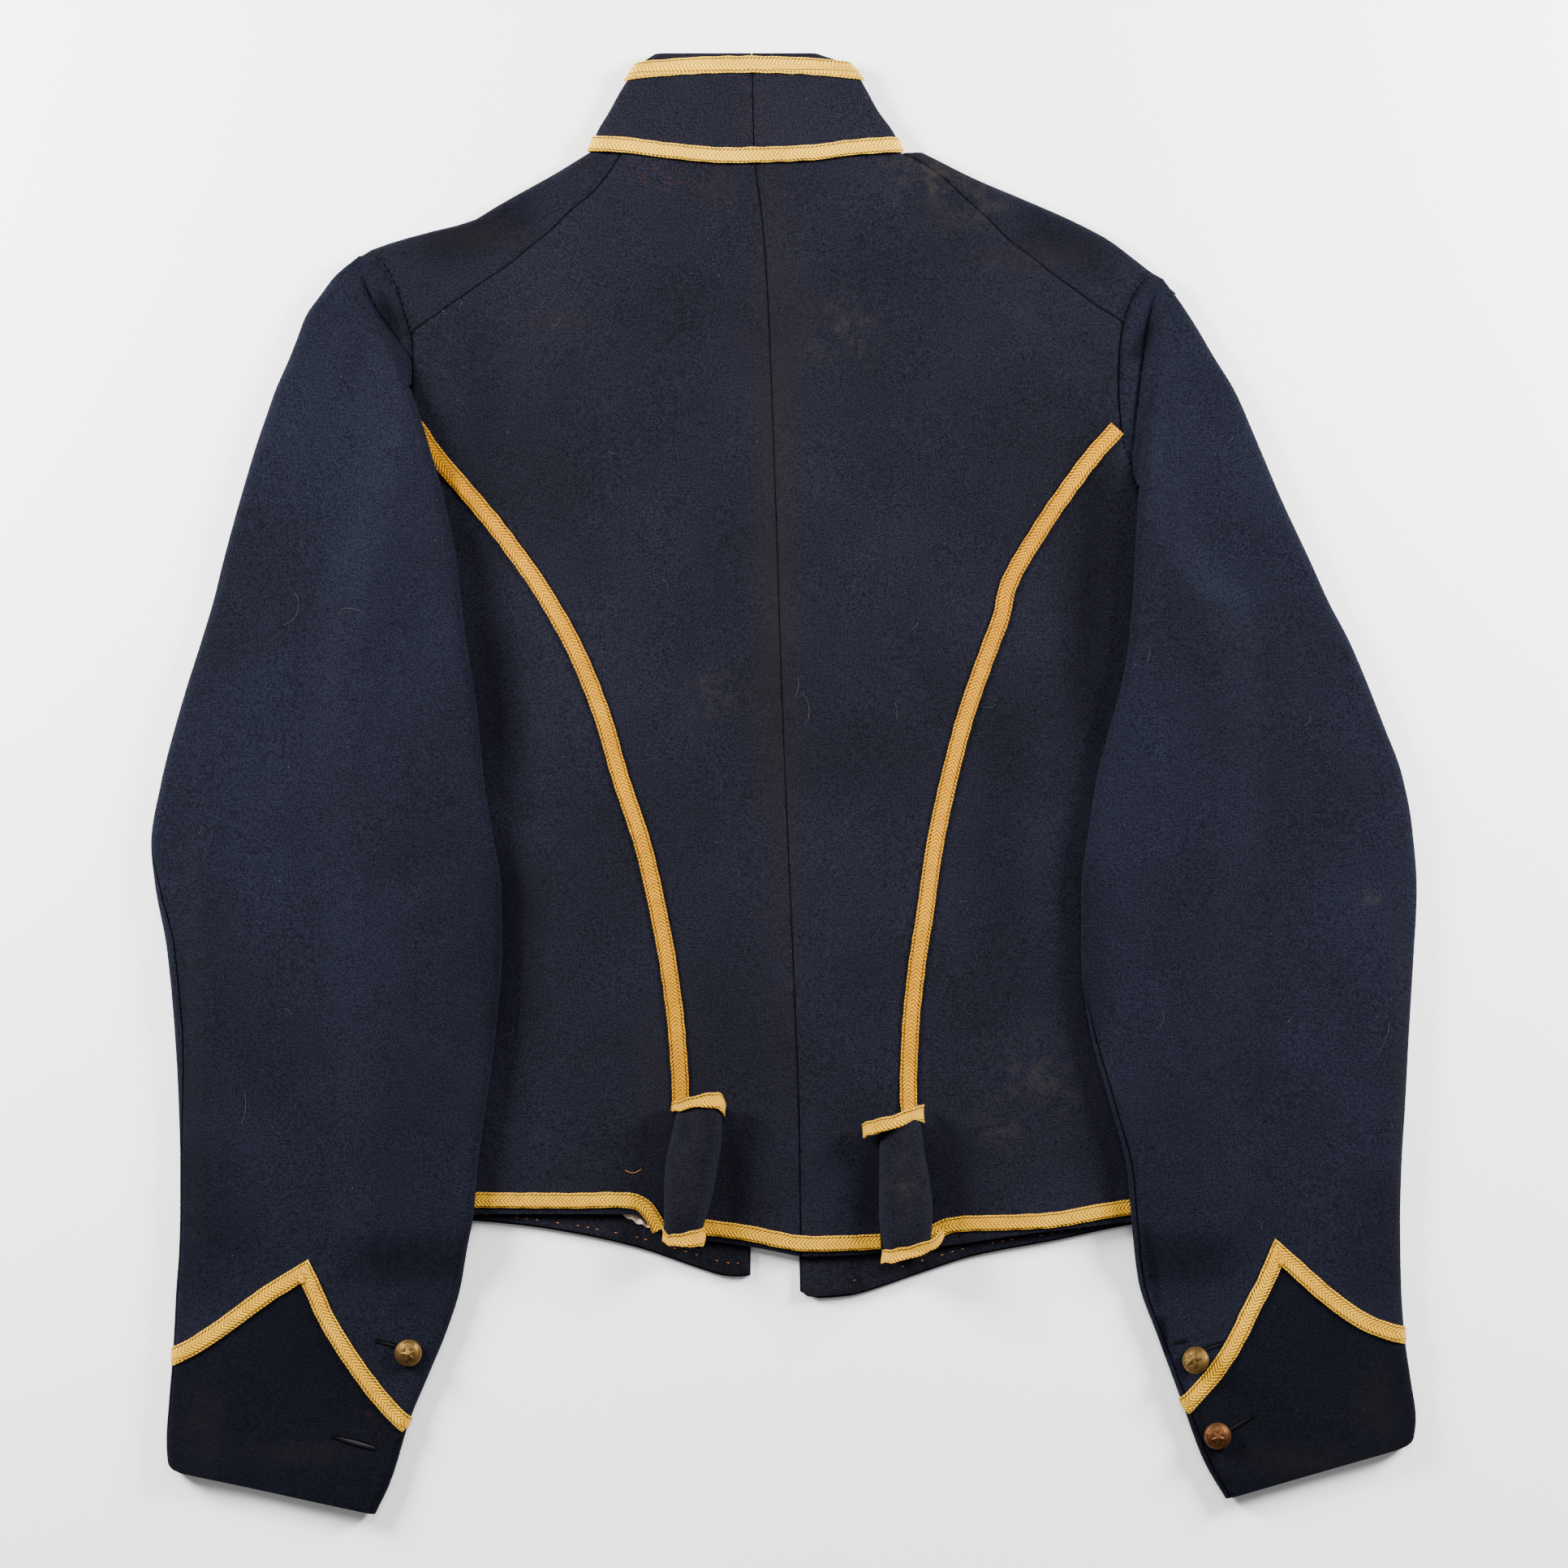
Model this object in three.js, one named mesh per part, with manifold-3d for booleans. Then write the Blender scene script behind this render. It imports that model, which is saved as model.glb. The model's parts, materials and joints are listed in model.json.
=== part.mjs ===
// A mounted services jacket laid face down on a flat surface, its back up and its sleeves at its sides.
// Millimetres. +X is to the right and +Y towards the collar in a view of the back, and +Z is up.
import * as THREE from 'three';
import { mergeVertices } from 'three/addons/utils/BufferGeometryUtils.js';
import Module from 'manifold-3d';

const wasm = await Module();
wasm.setup();

// Driving dimensions.
const WALL = 2.2;
const SEAM_GAP = 0.3;
const BODY_HEIGHT = 6.6;
const COLLAR_HEIGHT = 7.6;
const SLEEVE_HEIGHT = 8;
const TAPE_WIDTH = 8.7;
const TAPE_THICKNESS = 0.9;
const BINDING_WIDTH = 7.5;
const CUFF_BUTTON_DIAMETER = 14.4;
const CUFF_BUTTON_HEIGHT = 5.2;
const CUFF_BUTTON_RIM_HEIGHT = 1.6;
const FACING_THICKNESS = 1;
const FACING_HEIGHT = 16;
const FACING_SETBACK = 1.5;
const LINING_THICKNESS = 0.5;
const EDGE_REACH = 5;
const ROLL_LEAN = 5;
const NECK_TAPE_RISE = 1.2;
const COLLAR_TAPE_TOP = 367.5;
const COLLAR_TAPE_BOW = 3.6;

// Worked out from the driving dimensions.
const TAPE_LIFT = 0.4;
const SLEEVE_REST = BODY_HEIGHT + TAPE_LIFT + TAPE_THICKNESS + SEAM_GAP;
const CUFF_DROP = [-261, -226];
const HEM_TAPE_WIDTH = TAPE_WIDTH - 0.7;
const TAPE_STEP = 13;
const CHEVRON_STEP = 7;
const BINDING_LIFT = SEAM_GAP + 0.1;
const CUFF_TAPE_LIFT = TAPE_LIFT + 0.2;
const SLEEVE_SEAM_GAP = SEAM_GAP + 0.3;
const SHOULDER_SEAM_GAP = 1.1;
const SHOULDER_START = 225;
const SLEEVE_RAMP = 32;
const SLEEVE_RAMP_REACH = 30;
const HEAD_RISE_LENGTH = 60;
const HEM_FADE = 60;
const NECK_FADE = 24;

// Finishes: colour, roughness and metalness.
const NAVY = { color: 0x292935, roughness: 0.92, metalness: 0 };
const SLEEVE_NAVY = { color: 0x272a39, roughness: 0.92, metalness: 0 };
const TAPE_YELLOW = { color: 0xe8be6e, roughness: 0.85, metalness: 0 };
const SEAM_TAPE_YELLOW = { color: 0xd7a032, roughness: 0.85, metalness: 0 };
const LINING_CREAM = { color: 0xbea591, roughness: 0.9, metalness: 0 };
const BRASS = { color: 0x8c6a3f, roughness: 0.45, metalness: 0.9 };

const jacket = new THREE.Group();

// A table with named columns, a row for each section.
const table = (names, rows) => rows.map((row) => Object.fromEntries(names.map((name, k) => [name, row[k]])));

// The body's outline at heights y: the side or shoulder fold, the side-back or shoulder seam, and the
// front edge. Distances are measured outwards from x = 0 on each side.
const LEFT_BODY = table(['y', 'fold', 'seam', 'front'], [
  [-222, 209, 62, 17],
  [-200, 208, 59, 17],
  [-161, 208, 53, 17],
  [-132, 210, 55, 17],
  [-98, 212, 59, 18],
  [-65, 215, 65, 18],
  [-31, 218, 73, 18],
  [-2, 220, 84, 19],
  [36, 221, 94, 19],
  [70, 219, 108, 19],
  [94, 215, 122, 20],
  [103, 217, 127, 20],
  [137, 226, 152, 20],
  [170, 226, 180, 20],
  [188, 226, 194, 20],
  [204, 226, 201, 20],
  [222, 226, 201, 20],
  [233, 226, 192, 20],
  [244, 225, 177, 20],
  [258, 224, 157, 20],
  [269, 221, 141, 20],
  [274, 217, 135, 20],
  [279, 205, 129, 20],
  [285, 184, 121, 20],
  [291, 161, 115, 20],
  [297, 151, 109, 20],
  [305, 137, 99, 20],
  [315, 119, 91, 20],
  [326, 101, 84, 20],
]);
const RIGHT_BODY = table(['y', 'fold', 'seam', 'front'], [
  [-228, 217, 79, 8],
  [-200, 217, 72, 7],
  [-161, 216, 64, 5],
  [-132, 218, 65, 3],
  [-98, 220, 68, 0],
  [-65, 222, 73, -3],
  [-31, 223, 78, -6],
  [-2, 223, 85, -9],
  [36, 224, 94, -12],
  [70, 221, 106, -14],
  [94, 216, 114, -16],
  [103, 218, 116, -16],
  [137, 226, 136, -18],
  [170, 226, 160, -19],
  [186, 226, 175, -19],
  [202, 226, 182, -19],
  [226, 226, 182, -19],
  [238, 224, 175, -19],
  [247, 218, 161, -19],
  [256, 206, 149, -19],
  [263, 192, 139, -19],
  [272, 180, 128, -19],
  [281, 168, 116, -19],
  [291, 149, 106, -19],
  [302, 124, 94, -19],
  [313, 98, 82, -19],
  [322, 80, 69, -19],
  [326, 72, 61, -19],
]);

// The armhole seam, seen from above, from the armpit up to the shoulder.
const LEFT_ARMHOLE = table(['y', 'out'], [
  [95, 215],
  [116, 208],
  [145, 201],
  [170, 196],
  [189, 194],
  [203, 192],
  [226, 191.5],
  [243, 196],
  [257, 200],
  [268, 206],
  [274, 213],
]);
const RIGHT_ARMHOLE = table(['y', 'out'], [
  [95, 216],
  [107, 203],
  [128, 191],
  [154, 182],
  [176, 175],
  [206, 172.5],
  [223, 173],
  [238, 175],
  [250, 179],
  [259, 184.5],
  [263, 189],
]);

// The centre back seam, from the hem up to the neck.
const CENTRE_SEAM = table(['y', 'x'], [
  [-245, 9],
  [-182, 8],
  [-98, 5],
  [28, -0.4],
  [154, -4.6],
  [263, -9],
  [326, -15],
]);

// How far the hems lie below the nominal hem, measured outwards from x = 0.
const LEFT_BACK_HEM = table(['out', 'drop'], [
  [-9, 22],
  [17, 17],
  [38, 14],
  [62, 11],
  [70, 6],
  [78, 0],
  [210, 0],
]);
const RIGHT_BACK_HEM = table(['out', 'drop'], [
  [9, 16],
  [31, 15.5],
  [49, 14],
  [79, 11],
  [119, 5],
  [161, 0],
  [217, -6],
]);
const LEFT_FRONT_HEM = table(['out', 'drop'], [
  [17, 32],
  [26, 33],
  [36, 31],
  [45, 28],
  [78, 17],
  [116, 9],
  [137, 6],
  [158, 4],
  [209, 0],
]);
const RIGHT_FRONT_HEM = table(['out', 'drop'], [
  [8, 34],
  [13, 38],
  [35, 36.5],
  [47, 33],
  [73, 24],
  [98, 16],
  [140, 8],
  [178, 0],
  [217, -6],
]);

// The neck seam's place, below the shoulder's highest point.
const NECK_SEAM = table(['x', 'drop'], [
  [-101, 0],
  [-83, 1],
  [-63, 3.5],
  [-27, 6.4],
  [-9, 6],
  [15, 5],
  [33, 2.5],
  [69, 0],
]);

// The sleeves' sections from the cuff up. outer and fold are the two long edges, measured outwards, with
// their own y. seam is the arc from the inner edge to the seam beneath it, and lip is the arc from the
// outer edge to the seam on its face.
const SLEEVE_COLUMNS = ['outer', 'outerY', 'fold', 'foldY', 'seam', 'lip'];
const LEFT_SLEEVE = table(SLEEVE_COLUMNS, [
  [318, -354, 211, -377, 8, 1.5],
  [319, -340, 203, -360, 8, 2],
  [317.5, -316, 193, -328, 8, 3],
  [316, -298, 183, -304, 8, 3],
  [315, -281, 174.5, -283.5, 8, 3],
  [314, -261, 167.5, -262, 8, 3],
  [312.5, -240, 163.5, -241, 8, 3],
  [312, -220, 159.5, -220, 8, 3],
  [312, -195, 157.5, -195, 8, 3],
  [313, -160, 152.5, -160, 8, 5],
  [315, -125, 148, -125, 8, 7],
  [319, -84, 145, -84, 8, 7],
  [325, -52, 145.5, -52, 8, 5],
  [327, -31, 149, -31, 9, 1.5],
  [322, 0, 154, 0, 14, -3],
  [311, 42, 158.5, 42, 28, -4],
  [301, 74, 163.5, 74, 42, -4],
  [295, 94, 166, 94, 52, -4],
  [289.5, 116, 168.5, 116, 8, -4],
  [281, 147, 175, 147, 8, -4],
  [272, 177, 183.5, 177, 8, -4],
  [267.5, 190, 187.5, 190, 8, -4],
  [263, 203, 192, 203, 8, -4],
  [256, 219, 197, 219, 8, -4],
  [252, 229, 204, 229, 8, -4],
  [247, 242, 214, 242, 8, -4],
  [240, 252, 220, 252, 8, -3],
  [232.5, 263, 223, 263, 8, -2],
  [222, 272.5, 219, 272.5, 8, -1],
]);
const RIGHT_SLEEVE = table(SLEEVE_COLUMNS, [
  [325, -341, 228, -369, -5, -4],
  [326.5, -328, 217, -350, -5, -4],
  [323.5, -306, 205, -318, -5, -4],
  [320.5, -284, 193, -285.5, -5, -4],
  [318.8, -257, 183, -257, -5, -4],
  [318.4, -228, 179, -228, -5, -4],
  [319, -199, 176.5, -199, -5, -4],
  [321, -165, 167.6, -165, -5, -4],
  [323, -127, 157.5, -127, -4, -4],
  [325, -94, 153, -94, 0, -4],
  [327, -55, 153, -55, 4, -4],
  [324.5, -22, 157, -22, 8, -4],
  [319, 6, 161.5, 6, 12, -4],
  [310, 30, 168, 30, 20, -4],
  [301, 53, 174, 53, 28, -4],
  [292, 74, 177.5, 74, 36, -4],
  [281.5, 94, 179.3, 94, 44, -4],
  [271.5, 116, 180.5, 116, 8, -4],
  [257, 147, 182.3, 147, 8, -4],
  [243.5, 179, 186, 179, 8, -4],
  [233, 203, 189, 203, 8, -4],
  [222, 221, 191.3, 221, 8, -4],
  [212, 238, 194, 238, 8, -3],
  [204, 250, 196, 250, 8, -2],
  [196, 260.5, 193.5, 260.5, 8, -1],
]);

// The collar's sections from the neck seam to the top edge, with its two side folds.
const COLLAR = table(['y', 'left', 'right', 'seam'], [
  [326, -101, 61, -15.5],
  [336, -97, 57, -15.7],
  [348, -90, 48.5, -16],
  [358, -84.5, 43, -16.2],
  [366, -79, 38, -16.4],
  [372, -74, 31, -16.5],
  [377, -67, 18, -16.6],
]);
const COLLAR_FRONT_X = -20;

// The largest creases of the back, as soft troughs between two points.
const BACK_CREASES = table(['x0', 'y0', 'x1', 'y1', 'width', 'depth'], [
  [-158, 137, -131, -14, 13, 1.2],
  [163, 143, 136, -6, 13, 1.2],
  [-177, 217, -172, 160, 10, 0.8],
  [123, 254, 156, 217, 11, 0.8],
  [138, -60, 128, -170, 12, 0.6],
  [-20, 120, -12, -60, 14, 0.5],
]);

// The belt rolls' sections from the upper end to the lower one.
const LEFT_ROLL = table(['y', 'left', 'right', 'height'], [
  [-237, -61, -42, 12.5],
  [-231, -62.5, -41.5, 14],
  [-218, -62.5, -37.5, 15.5],
  [-200, -62, -34, 16],
  [-182, -58.5, -31.5, 16],
  [-172, -56.5, -31.5, 15.5],
  [-165, -55, -32.5, 14],
]);
const RIGHT_ROLL = table(['y', 'left', 'right', 'height'], [
  [-245, 51.5, 74, 12.5],
  [-239, 50.4, 75.6, 14],
  [-222, 48.3, 77.3, 15.5],
  [-205, 48.4, 75.6, 16],
  [-190, 48.6, 72.8, 16],
  [-180, 49, 71.6, 15.5],
  [-173, 50, 70.5, 14],
]);

// Middle lines of the tapes, seen from above, as x and y.
const LEFT_SEAM_TAPE = [
  [-191, 186], [-180, 170], [-152, 137], [-127, 103], [-108, 70], [-94, 36],
  [-84, 2], [-73, -31], [-65, -65], [-59, -98], [-55, -132], [-53, -161],
];
const RIGHT_SEAM_TAPE = [
  [172, 183.5], [160, 170], [136, 137], [116, 103], [112, 86], [106, 70], [94, 36],
  [85, 2], [78, -31], [73, -65], [68, -98], [65, -132], [64, -166],
];
const LEFT_HEM_TAPE = [[-164, -214.6], [-110, -215], [-78, -215], [-70, -218.5]];
const CENTRE_HEM_TAPE = [[-36.5, -229], [-20, -231.5], [8, -236.8], [31, -236.8], [45, -236]];
const RIGHT_HEM_TAPE = [[83.5, -228.5], [119, -226], [140, -224.8], [161, -221], [184, -217.5]];
const LEFT_CUFF_TAPE = [
  [-309.5, -292.3], [-290.5, -280.6], [-277.3, -270.9], [-264.1, -261.6], [-247.2, -251.2],
  [-237.7, -272], [-225.3, -293.2], [-210, -314.3], [-199.5, -326],
];
const RIGHT_CUFF_TAPE = [
  [213.5, -313.4], [221.8, -304.1], [235.9, -281.3], [247.3, -258.5], [254.8, -241.6],
  [265.1, -250.5], [276.5, -260.8], [287.9, -269.9], [299.3, -277.2], [314, -282.6],
];

// Cuff buttons, where they sit on the sleeves.
const CUFF_BUTTONS = [
  { name: 'cuff_button_left_upper', side: -1, x: -193.6, y: -293.2 },
  { name: 'cuff_button_right_upper', side: 1, x: 212.4, y: -297 },
  { name: 'cuff_button_right_lower', side: 1, x: 223.5, y: -336 },
];

// The gap that leaves 0.3 mm square to a seam that runs aslant, measured along x.
function gapAt(rows, key, column, at) {
  const slope = (read(rows, key, column, at + 2) - read(rows, key, column, at - 2)) / 4;
  return (SEAM_GAP + 0.05) * Math.hypot(slope, 1);
}

const clamp01 = (t) => Math.min(1, Math.max(0, t));
const smooth = (t) => clamp01(t) ** 2 * (3 - 2 * clamp01(t));
const mix = (a, b, t) => a + (b - a) * t;

// Reads a table's column at a place, along a curve that keeps between neighbouring rows.
function read(rows, key, column, at) {
  const last = rows.length - 1;
  if (at <= rows[0][key]) {
    return rows[0][column];
  }
  if (at >= rows[last][key]) {
    return rows[last][column];
  }
  const k = rows.findIndex((row) => row[key] > at) - 1;
  const slope = (i) => (rows[i + 1][column] - rows[i][column]) / (rows[i + 1][key] - rows[i][key]);
  const tangent = (i) => {
    if (i === 0 || i === last) {
      return slope(i === 0 ? 0 : last - 1);
    }
    const before = slope(i - 1);
    const after = slope(i);
    return before * after <= 0 ? 0 : (2 * before * after) / (before + after);
  };
  const span = rows[k + 1][key] - rows[k][key];
  const t = (at - rows[k][key]) / span;
  const start = (1 + 2 * t) * (1 - t) ** 2 * rows[k][column] + t * (1 - t) ** 2 * span * tangent(k);
  const end = t * t * (3 - 2 * t) * rows[k + 1][column] + t * t * (t - 1) * span * tangent(k + 1);
  return start + end;
}

// The height of the back's outer face.
function bodyTop(x, y) {
  let depth = 0;
  for (const crease of BACK_CREASES) {
    const along = new THREE.Vector2(crease.x1 - crease.x0, crease.y1 - crease.y0);
    const from = new THREE.Vector2(x - crease.x0, y - crease.y0);
    const t = clamp01(from.dot(along) / along.lengthSq());
    const away = from.sub(along.multiplyScalar(t)).length();
    depth += crease.depth * Math.exp(-((away / crease.width) ** 2));
  }
  return BODY_HEIGHT - depth;
}

// Points at the given distances along a path of points.
function walk(path, distances) {
  const lengths = [0];
  for (let k = 1; k < path.length; k += 1) {
    lengths.push(lengths[k - 1] + path[k].distanceTo(path[k - 1]));
  }
  return distances.map((distance) => {
    let k = lengths.findIndex((length) => length >= distance);
    k = k < 1 ? (distance <= 0 ? 1 : path.length - 1) : k;
    const t = clamp01((distance - lengths[k - 1]) / (lengths[k] - lengths[k - 1]));
    return path[k - 1].clone().lerp(path[k], t);
  });
}

// The same, with the path's direction kept on each point for the wall's thickness.
function walkWithDirection(path, distances) {
  const whole = pathLength(path);
  return distances.map((distance) => {
    const [before, point, after] = walk(path, [distance - 0.6, distance, distance + 0.6].map(
      (s) => Math.min(whole, Math.max(0, s)),
    ));
    point.across = after.sub(before).normalize();
    return point;
  });
}

const pathLength = (path) => path.reduce((sum, point, k) => (k ? sum + point.distanceTo(path[k - 1]) : 0), 0);

// Distances from start to end, with even steps in each stretch. A stretch is [length, steps], and the one
// without a length takes what is left.
function stretches(start, end, parts) {
  const fixed = parts.reduce((sum, [length]) => sum + (length ?? 0), 0);
  const scale = Math.min(1, (0.8 * (end - start)) / fixed);
  const list = [start];
  for (const [length, steps] of parts) {
    const whole = length === null ? end - start - fixed * scale : length * scale;
    const from = list[list.length - 1];
    for (let k = 1; k <= steps; k += 1) {
      list.push(from + (whole * k) / steps);
    }
  }
  return list;
}

// A closed wall from rows of points on a face, between two distances out from that face. Rows run up the
// garment and points run so that the face looks outwards.
function wallGeometry(rows, low, high) {
  const height = rows.length;
  const width = rows[0].length;
  const at = (i, j) => rows[Math.min(height - 1, Math.max(0, i))][Math.min(width - 1, Math.max(0, j))];
  const positions = [];
  for (const offset of [high, low]) {
    for (let i = 0; i < height; i += 1) {
      for (let j = 0; j < width; j += 1) {
        const across = at(i, j).across?.clone() ?? at(i, j + 1).clone().sub(at(i, j - 1));
        const up = at(i + 1, j).clone().sub(at(i - 1, j));
        const normal = across.cross(up).normalize();
        const point = at(i, j).clone().addScaledVector(normal, offset);
        positions.push(point.x, point.y, point.z);
      }
    }
  }
  const outer = (i, j) => i * width + j;
  const inner = (i, j) => height * width + i * width + j;
  const index = [];
  const quad = (a, b, c, d) => index.push(a, b, c, a, c, d);
  for (let i = 0; i < height - 1; i += 1) {
    for (let j = 0; j < width - 1; j += 1) {
      quad(outer(i, j), outer(i, j + 1), outer(i + 1, j + 1), outer(i + 1, j));
      quad(inner(i, j), inner(i + 1, j), inner(i + 1, j + 1), inner(i, j + 1));
    }
    quad(outer(i, 0), outer(i + 1, 0), inner(i + 1, 0), inner(i, 0));
    quad(outer(i + 1, width - 1), outer(i, width - 1), inner(i, width - 1), inner(i + 1, width - 1));
  }
  for (let j = 0; j < width - 1; j += 1) {
    quad(outer(0, j + 1), outer(0, j), inner(0, j), inner(0, j + 1));
    quad(outer(height - 1, j), outer(height - 1, j + 1), inner(height - 1, j + 1), inner(height - 1, j));
  }
  const geometry = new THREE.BufferGeometry();
  geometry.setAttribute('position', new THREE.Float32BufferAttribute(positions, 3));
  geometry.setIndex(index);
  return geometry;
}

// A closed body through rings of points, with a flat cap at each end.
function loftGeometry(rings) {
  const width = rings[0].length;
  const positions = rings.flat().flatMap((point) => [point.x, point.y, point.z]);
  const index = [];
  for (let i = 0; i < rings.length - 1; i += 1) {
    for (let j = 0; j < width; j += 1) {
      const a = i * width + j;
      const b = i * width + ((j + 1) % width);
      index.push(a, b, b + width, a, b + width, a + width);
    }
  }
  for (let j = 1; j < width - 1; j += 1) {
    index.push(0, j + 1, j);
    const top = (rings.length - 1) * width;
    index.push(top, top + j, top + j + 1);
  }
  const geometry = new THREE.BufferGeometry();
  geometry.setAttribute('position', new THREE.Float32BufferAttribute(positions, 3));
  geometry.setIndex(index);
  return geometry;
}

// A closed mesh as a solid that can be cut, and back.
function solidOf(geometry) {
  const bare = geometry.clone();
  bare.deleteAttribute('normal');
  bare.deleteAttribute('uv');
  const merged = mergeVertices(bare, 1e-4);
  const vertProperties = Float32Array.from(merged.attributes.position.array);
  const triVerts = Uint32Array.from(merged.index.array);
  return new wasm.Manifold(new wasm.Mesh({ numProp: 3, vertProperties, triVerts }));
}

function geometryOf(solid) {
  const mesh = solid.getMesh();
  const geometry = new THREE.BufferGeometry();
  geometry.setAttribute('position', new THREE.Float32BufferAttribute(mesh.vertProperties, 3));
  geometry.setIndex(Array.from(mesh.triVerts));
  return geometry;
}

function addPiece(name, geometry, finish) {
  geometry.computeVertexNormals();
  const piece = new THREE.Mesh(geometry, new THREE.MeshStandardMaterial(finish));
  piece.name = name;
  jacket.add(piece);
}

const SIDES = [
  {
    name: 'left',
    sign: -1,
    body: LEFT_BODY,
    armhole: LEFT_ARMHOLE,
    backHem: LEFT_BACK_HEM,
    frontHem: LEFT_FRONT_HEM,
    sleeve: LEFT_SLEEVE,
  },
  {
    name: 'right',
    sign: 1,
    body: RIGHT_BODY,
    armhole: RIGHT_ARMHOLE,
    backHem: RIGHT_BACK_HEM,
    frontHem: RIGHT_FRONT_HEM,
    sleeve: RIGHT_SLEEVE,
  },
];

// A path on the left runs the same way as its face, and one on the right is turned round to match.
function ordered(side, path) {
  if (side.sign < 0) {
    return path;
  }
  path.forEach((point) => point.across?.negate());
  return path.slice().reverse();
}

// Shifts a nominal height to the hem's and the neck's real lines.
function shifted(side, hem, out, y) {
  const hemFade = clamp01(1 - (y - side.body[0].y) / HEM_FADE);
  const neckY = side.body[side.body.length - 1].y;
  const neckFade = clamp01(1 - (neckY - y) / NECK_FADE);
  const neckDrop = read(NECK_SEAM, 'x', 'drop', side.sign * out);
  return y - read(hem, 'out', 'drop', out) * hemFade - neckDrop * neckFade;
}

// How far the body's fold rounds in, longer where the outline runs aslant.
function foldReach(side, y) {
  const rise = read(side.body, 'y', 'fold', y + 1) - read(side.body, 'y', 'fold', y - 1);
  return Math.min(9, 3.4 * Math.hypot(rise / 2, 1));
}

// A front's section: from the front edge along the lower layer, round the fold and back to the seam.
function frontSection(side, y) {
  const fold = read(side.body, 'y', 'fold', y);
  const seam = read(side.body, 'y', 'seam', y) + gapAt(side.body, 'y', 'seam', y) / 2;
  const front = read(side.body, 'y', 'front', y) + SEAM_GAP;
  const reach = foldReach(side, y);
  const middle = BODY_HEIGHT / 2;
  const lower = [];
  const upper = [];
  const place = (out, z, hem) => new THREE.Vector3(side.sign * out, shifted(side, hem, out, y), z);
  for (let k = 0; k <= 12; k += 1) {
    lower.push(place(mix(front, fold - reach, k / 12), 0, side.frontHem));
  }
  for (let k = 1; k <= 6; k += 1) {
    const angle = (k * Math.PI) / 12;
    const z = middle - middle * Math.cos(angle);
    lower.push(place(fold - reach + reach * Math.sin(angle), z, side.frontHem));
  }
  const last = clamp01((seam - fold + reach) / reach);
  const stop = Math.PI / 2 - Math.asin(last);
  for (let k = 0; k <= 6; k += 1) {
    const angle = (stop * k) / 6;
    const hem = k === 0 ? side.frontHem : side.backHem;
    upper.push(place(fold - reach + reach * Math.cos(angle), middle + middle * Math.sin(angle), hem));
  }
  for (let k = 1; k <= 10 && seam < fold - reach; k += 1) {
    const out = mix(fold - reach, seam, k / 10);
    const point = place(out, BODY_HEIGHT, side.backHem);
    point.z = bodyTop(point.x, point.y);
    upper.push(point);
  }
  const under = walk(lower, stretches(0, pathLength(lower), [[null, 4], [7, 3]]));
  const over = walk(upper, stretches(0, pathLength(upper), [[7, 3], [null, 5]]));
  return ordered(side, [...under, ...over.slice(1)]);
}

// The armhole as an upright cutter, with all that lies outwards of its line.
function armholeCutter(side) {
  const outline = new THREE.Shape();
  const low = side.armhole[0];
  const high = side.armhole[side.armhole.length - 1];
  const away = side.sign * 300;
  outline.moveTo(away, low.y);
  for (let k = 0; k <= 28; k += 1) {
    const y = mix(low.y, high.y, k / 28);
    outline.lineTo(side.sign * read(side.armhole, 'y', 'out', y), y);
  }
  outline.lineTo(away, high.y);
  const geometry = new THREE.ExtrudeGeometry(outline, { depth: 3 * BODY_HEIGHT, bevelEnabled: false });
  geometry.translate(0, 0, -BODY_HEIGHT);
  return solidOf(geometry);
}

function addFront(side) {
  const rows = side.body.map((row) => frontSection(side, row.y));
  const whole = solidOf(wallGeometry(rows, -WALL, 0));
  addPiece(`front_${side.name}`, geometryOf(whole.subtract(armholeCutter(side))), NAVY);
}

// A back half, from its side-back seam, armhole and shoulder seam to the centre seam.
function addBack(side) {
  const rows = side.body.map((row) => {
    const seam = read(side.body, 'y', 'seam', row.y) - gapAt(side.body, 'y', 'seam', row.y) / 2;
    const isAtArmhole = row.y > side.armhole[3].y;
    const armhole = isAtArmhole ? read(side.armhole, 'y', 'out', row.y) - SEAM_GAP / 2 : seam;
    const edge = Math.min(seam, armhole);
    const points = [];
    for (let k = 0; k <= 7; k += 1) {
      const centre = read(CENTRE_SEAM, 'y', 'x', row.y) * side.sign + SEAM_GAP / 2 + 0.02;
      const out = mix(edge, centre, k / 7);
      const y = shifted(side, side.backHem, out, row.y);
      const x = side.sign * out;
      points.push(new THREE.Vector3(x, y, bodyTop(x, y)));
    }
    return ordered(side, points);
  });
  addPiece(`back_${side.name}`, wallGeometry(rows, -WALL, 0), NAVY);
}

// Where the sleeve lies on the body or beside it: the height of its lowest face.
function sleeveSupport(side, out, y) {
  const atArmhole = y > side.armhole[0].y;
  const edge = atArmhole ? read(side.armhole, 'y', 'out', y) : read(side.body, 'y', 'fold', y);
  const below = smooth((y - CUFF_DROP[0]) / (CUFF_DROP[1] - CUFF_DROP[0]));
  return SLEEVE_REST * below * smooth((edge + SLEEVE_RAMP_REACH - out) / SLEEVE_RAMP);
}

// The height of the sleeve's upper face, lower towards the shoulder.
function sleeveTop(side, out, y) {
  const shoulder = side.armhole[side.armhole.length - 1].y;
  const risen = smooth((shoulder - y) / HEAD_RISE_LENGTH);
  return mix(BODY_HEIGHT, sleeveSupport(side, out, y) + SLEEVE_HEIGHT, risen);
}

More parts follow.
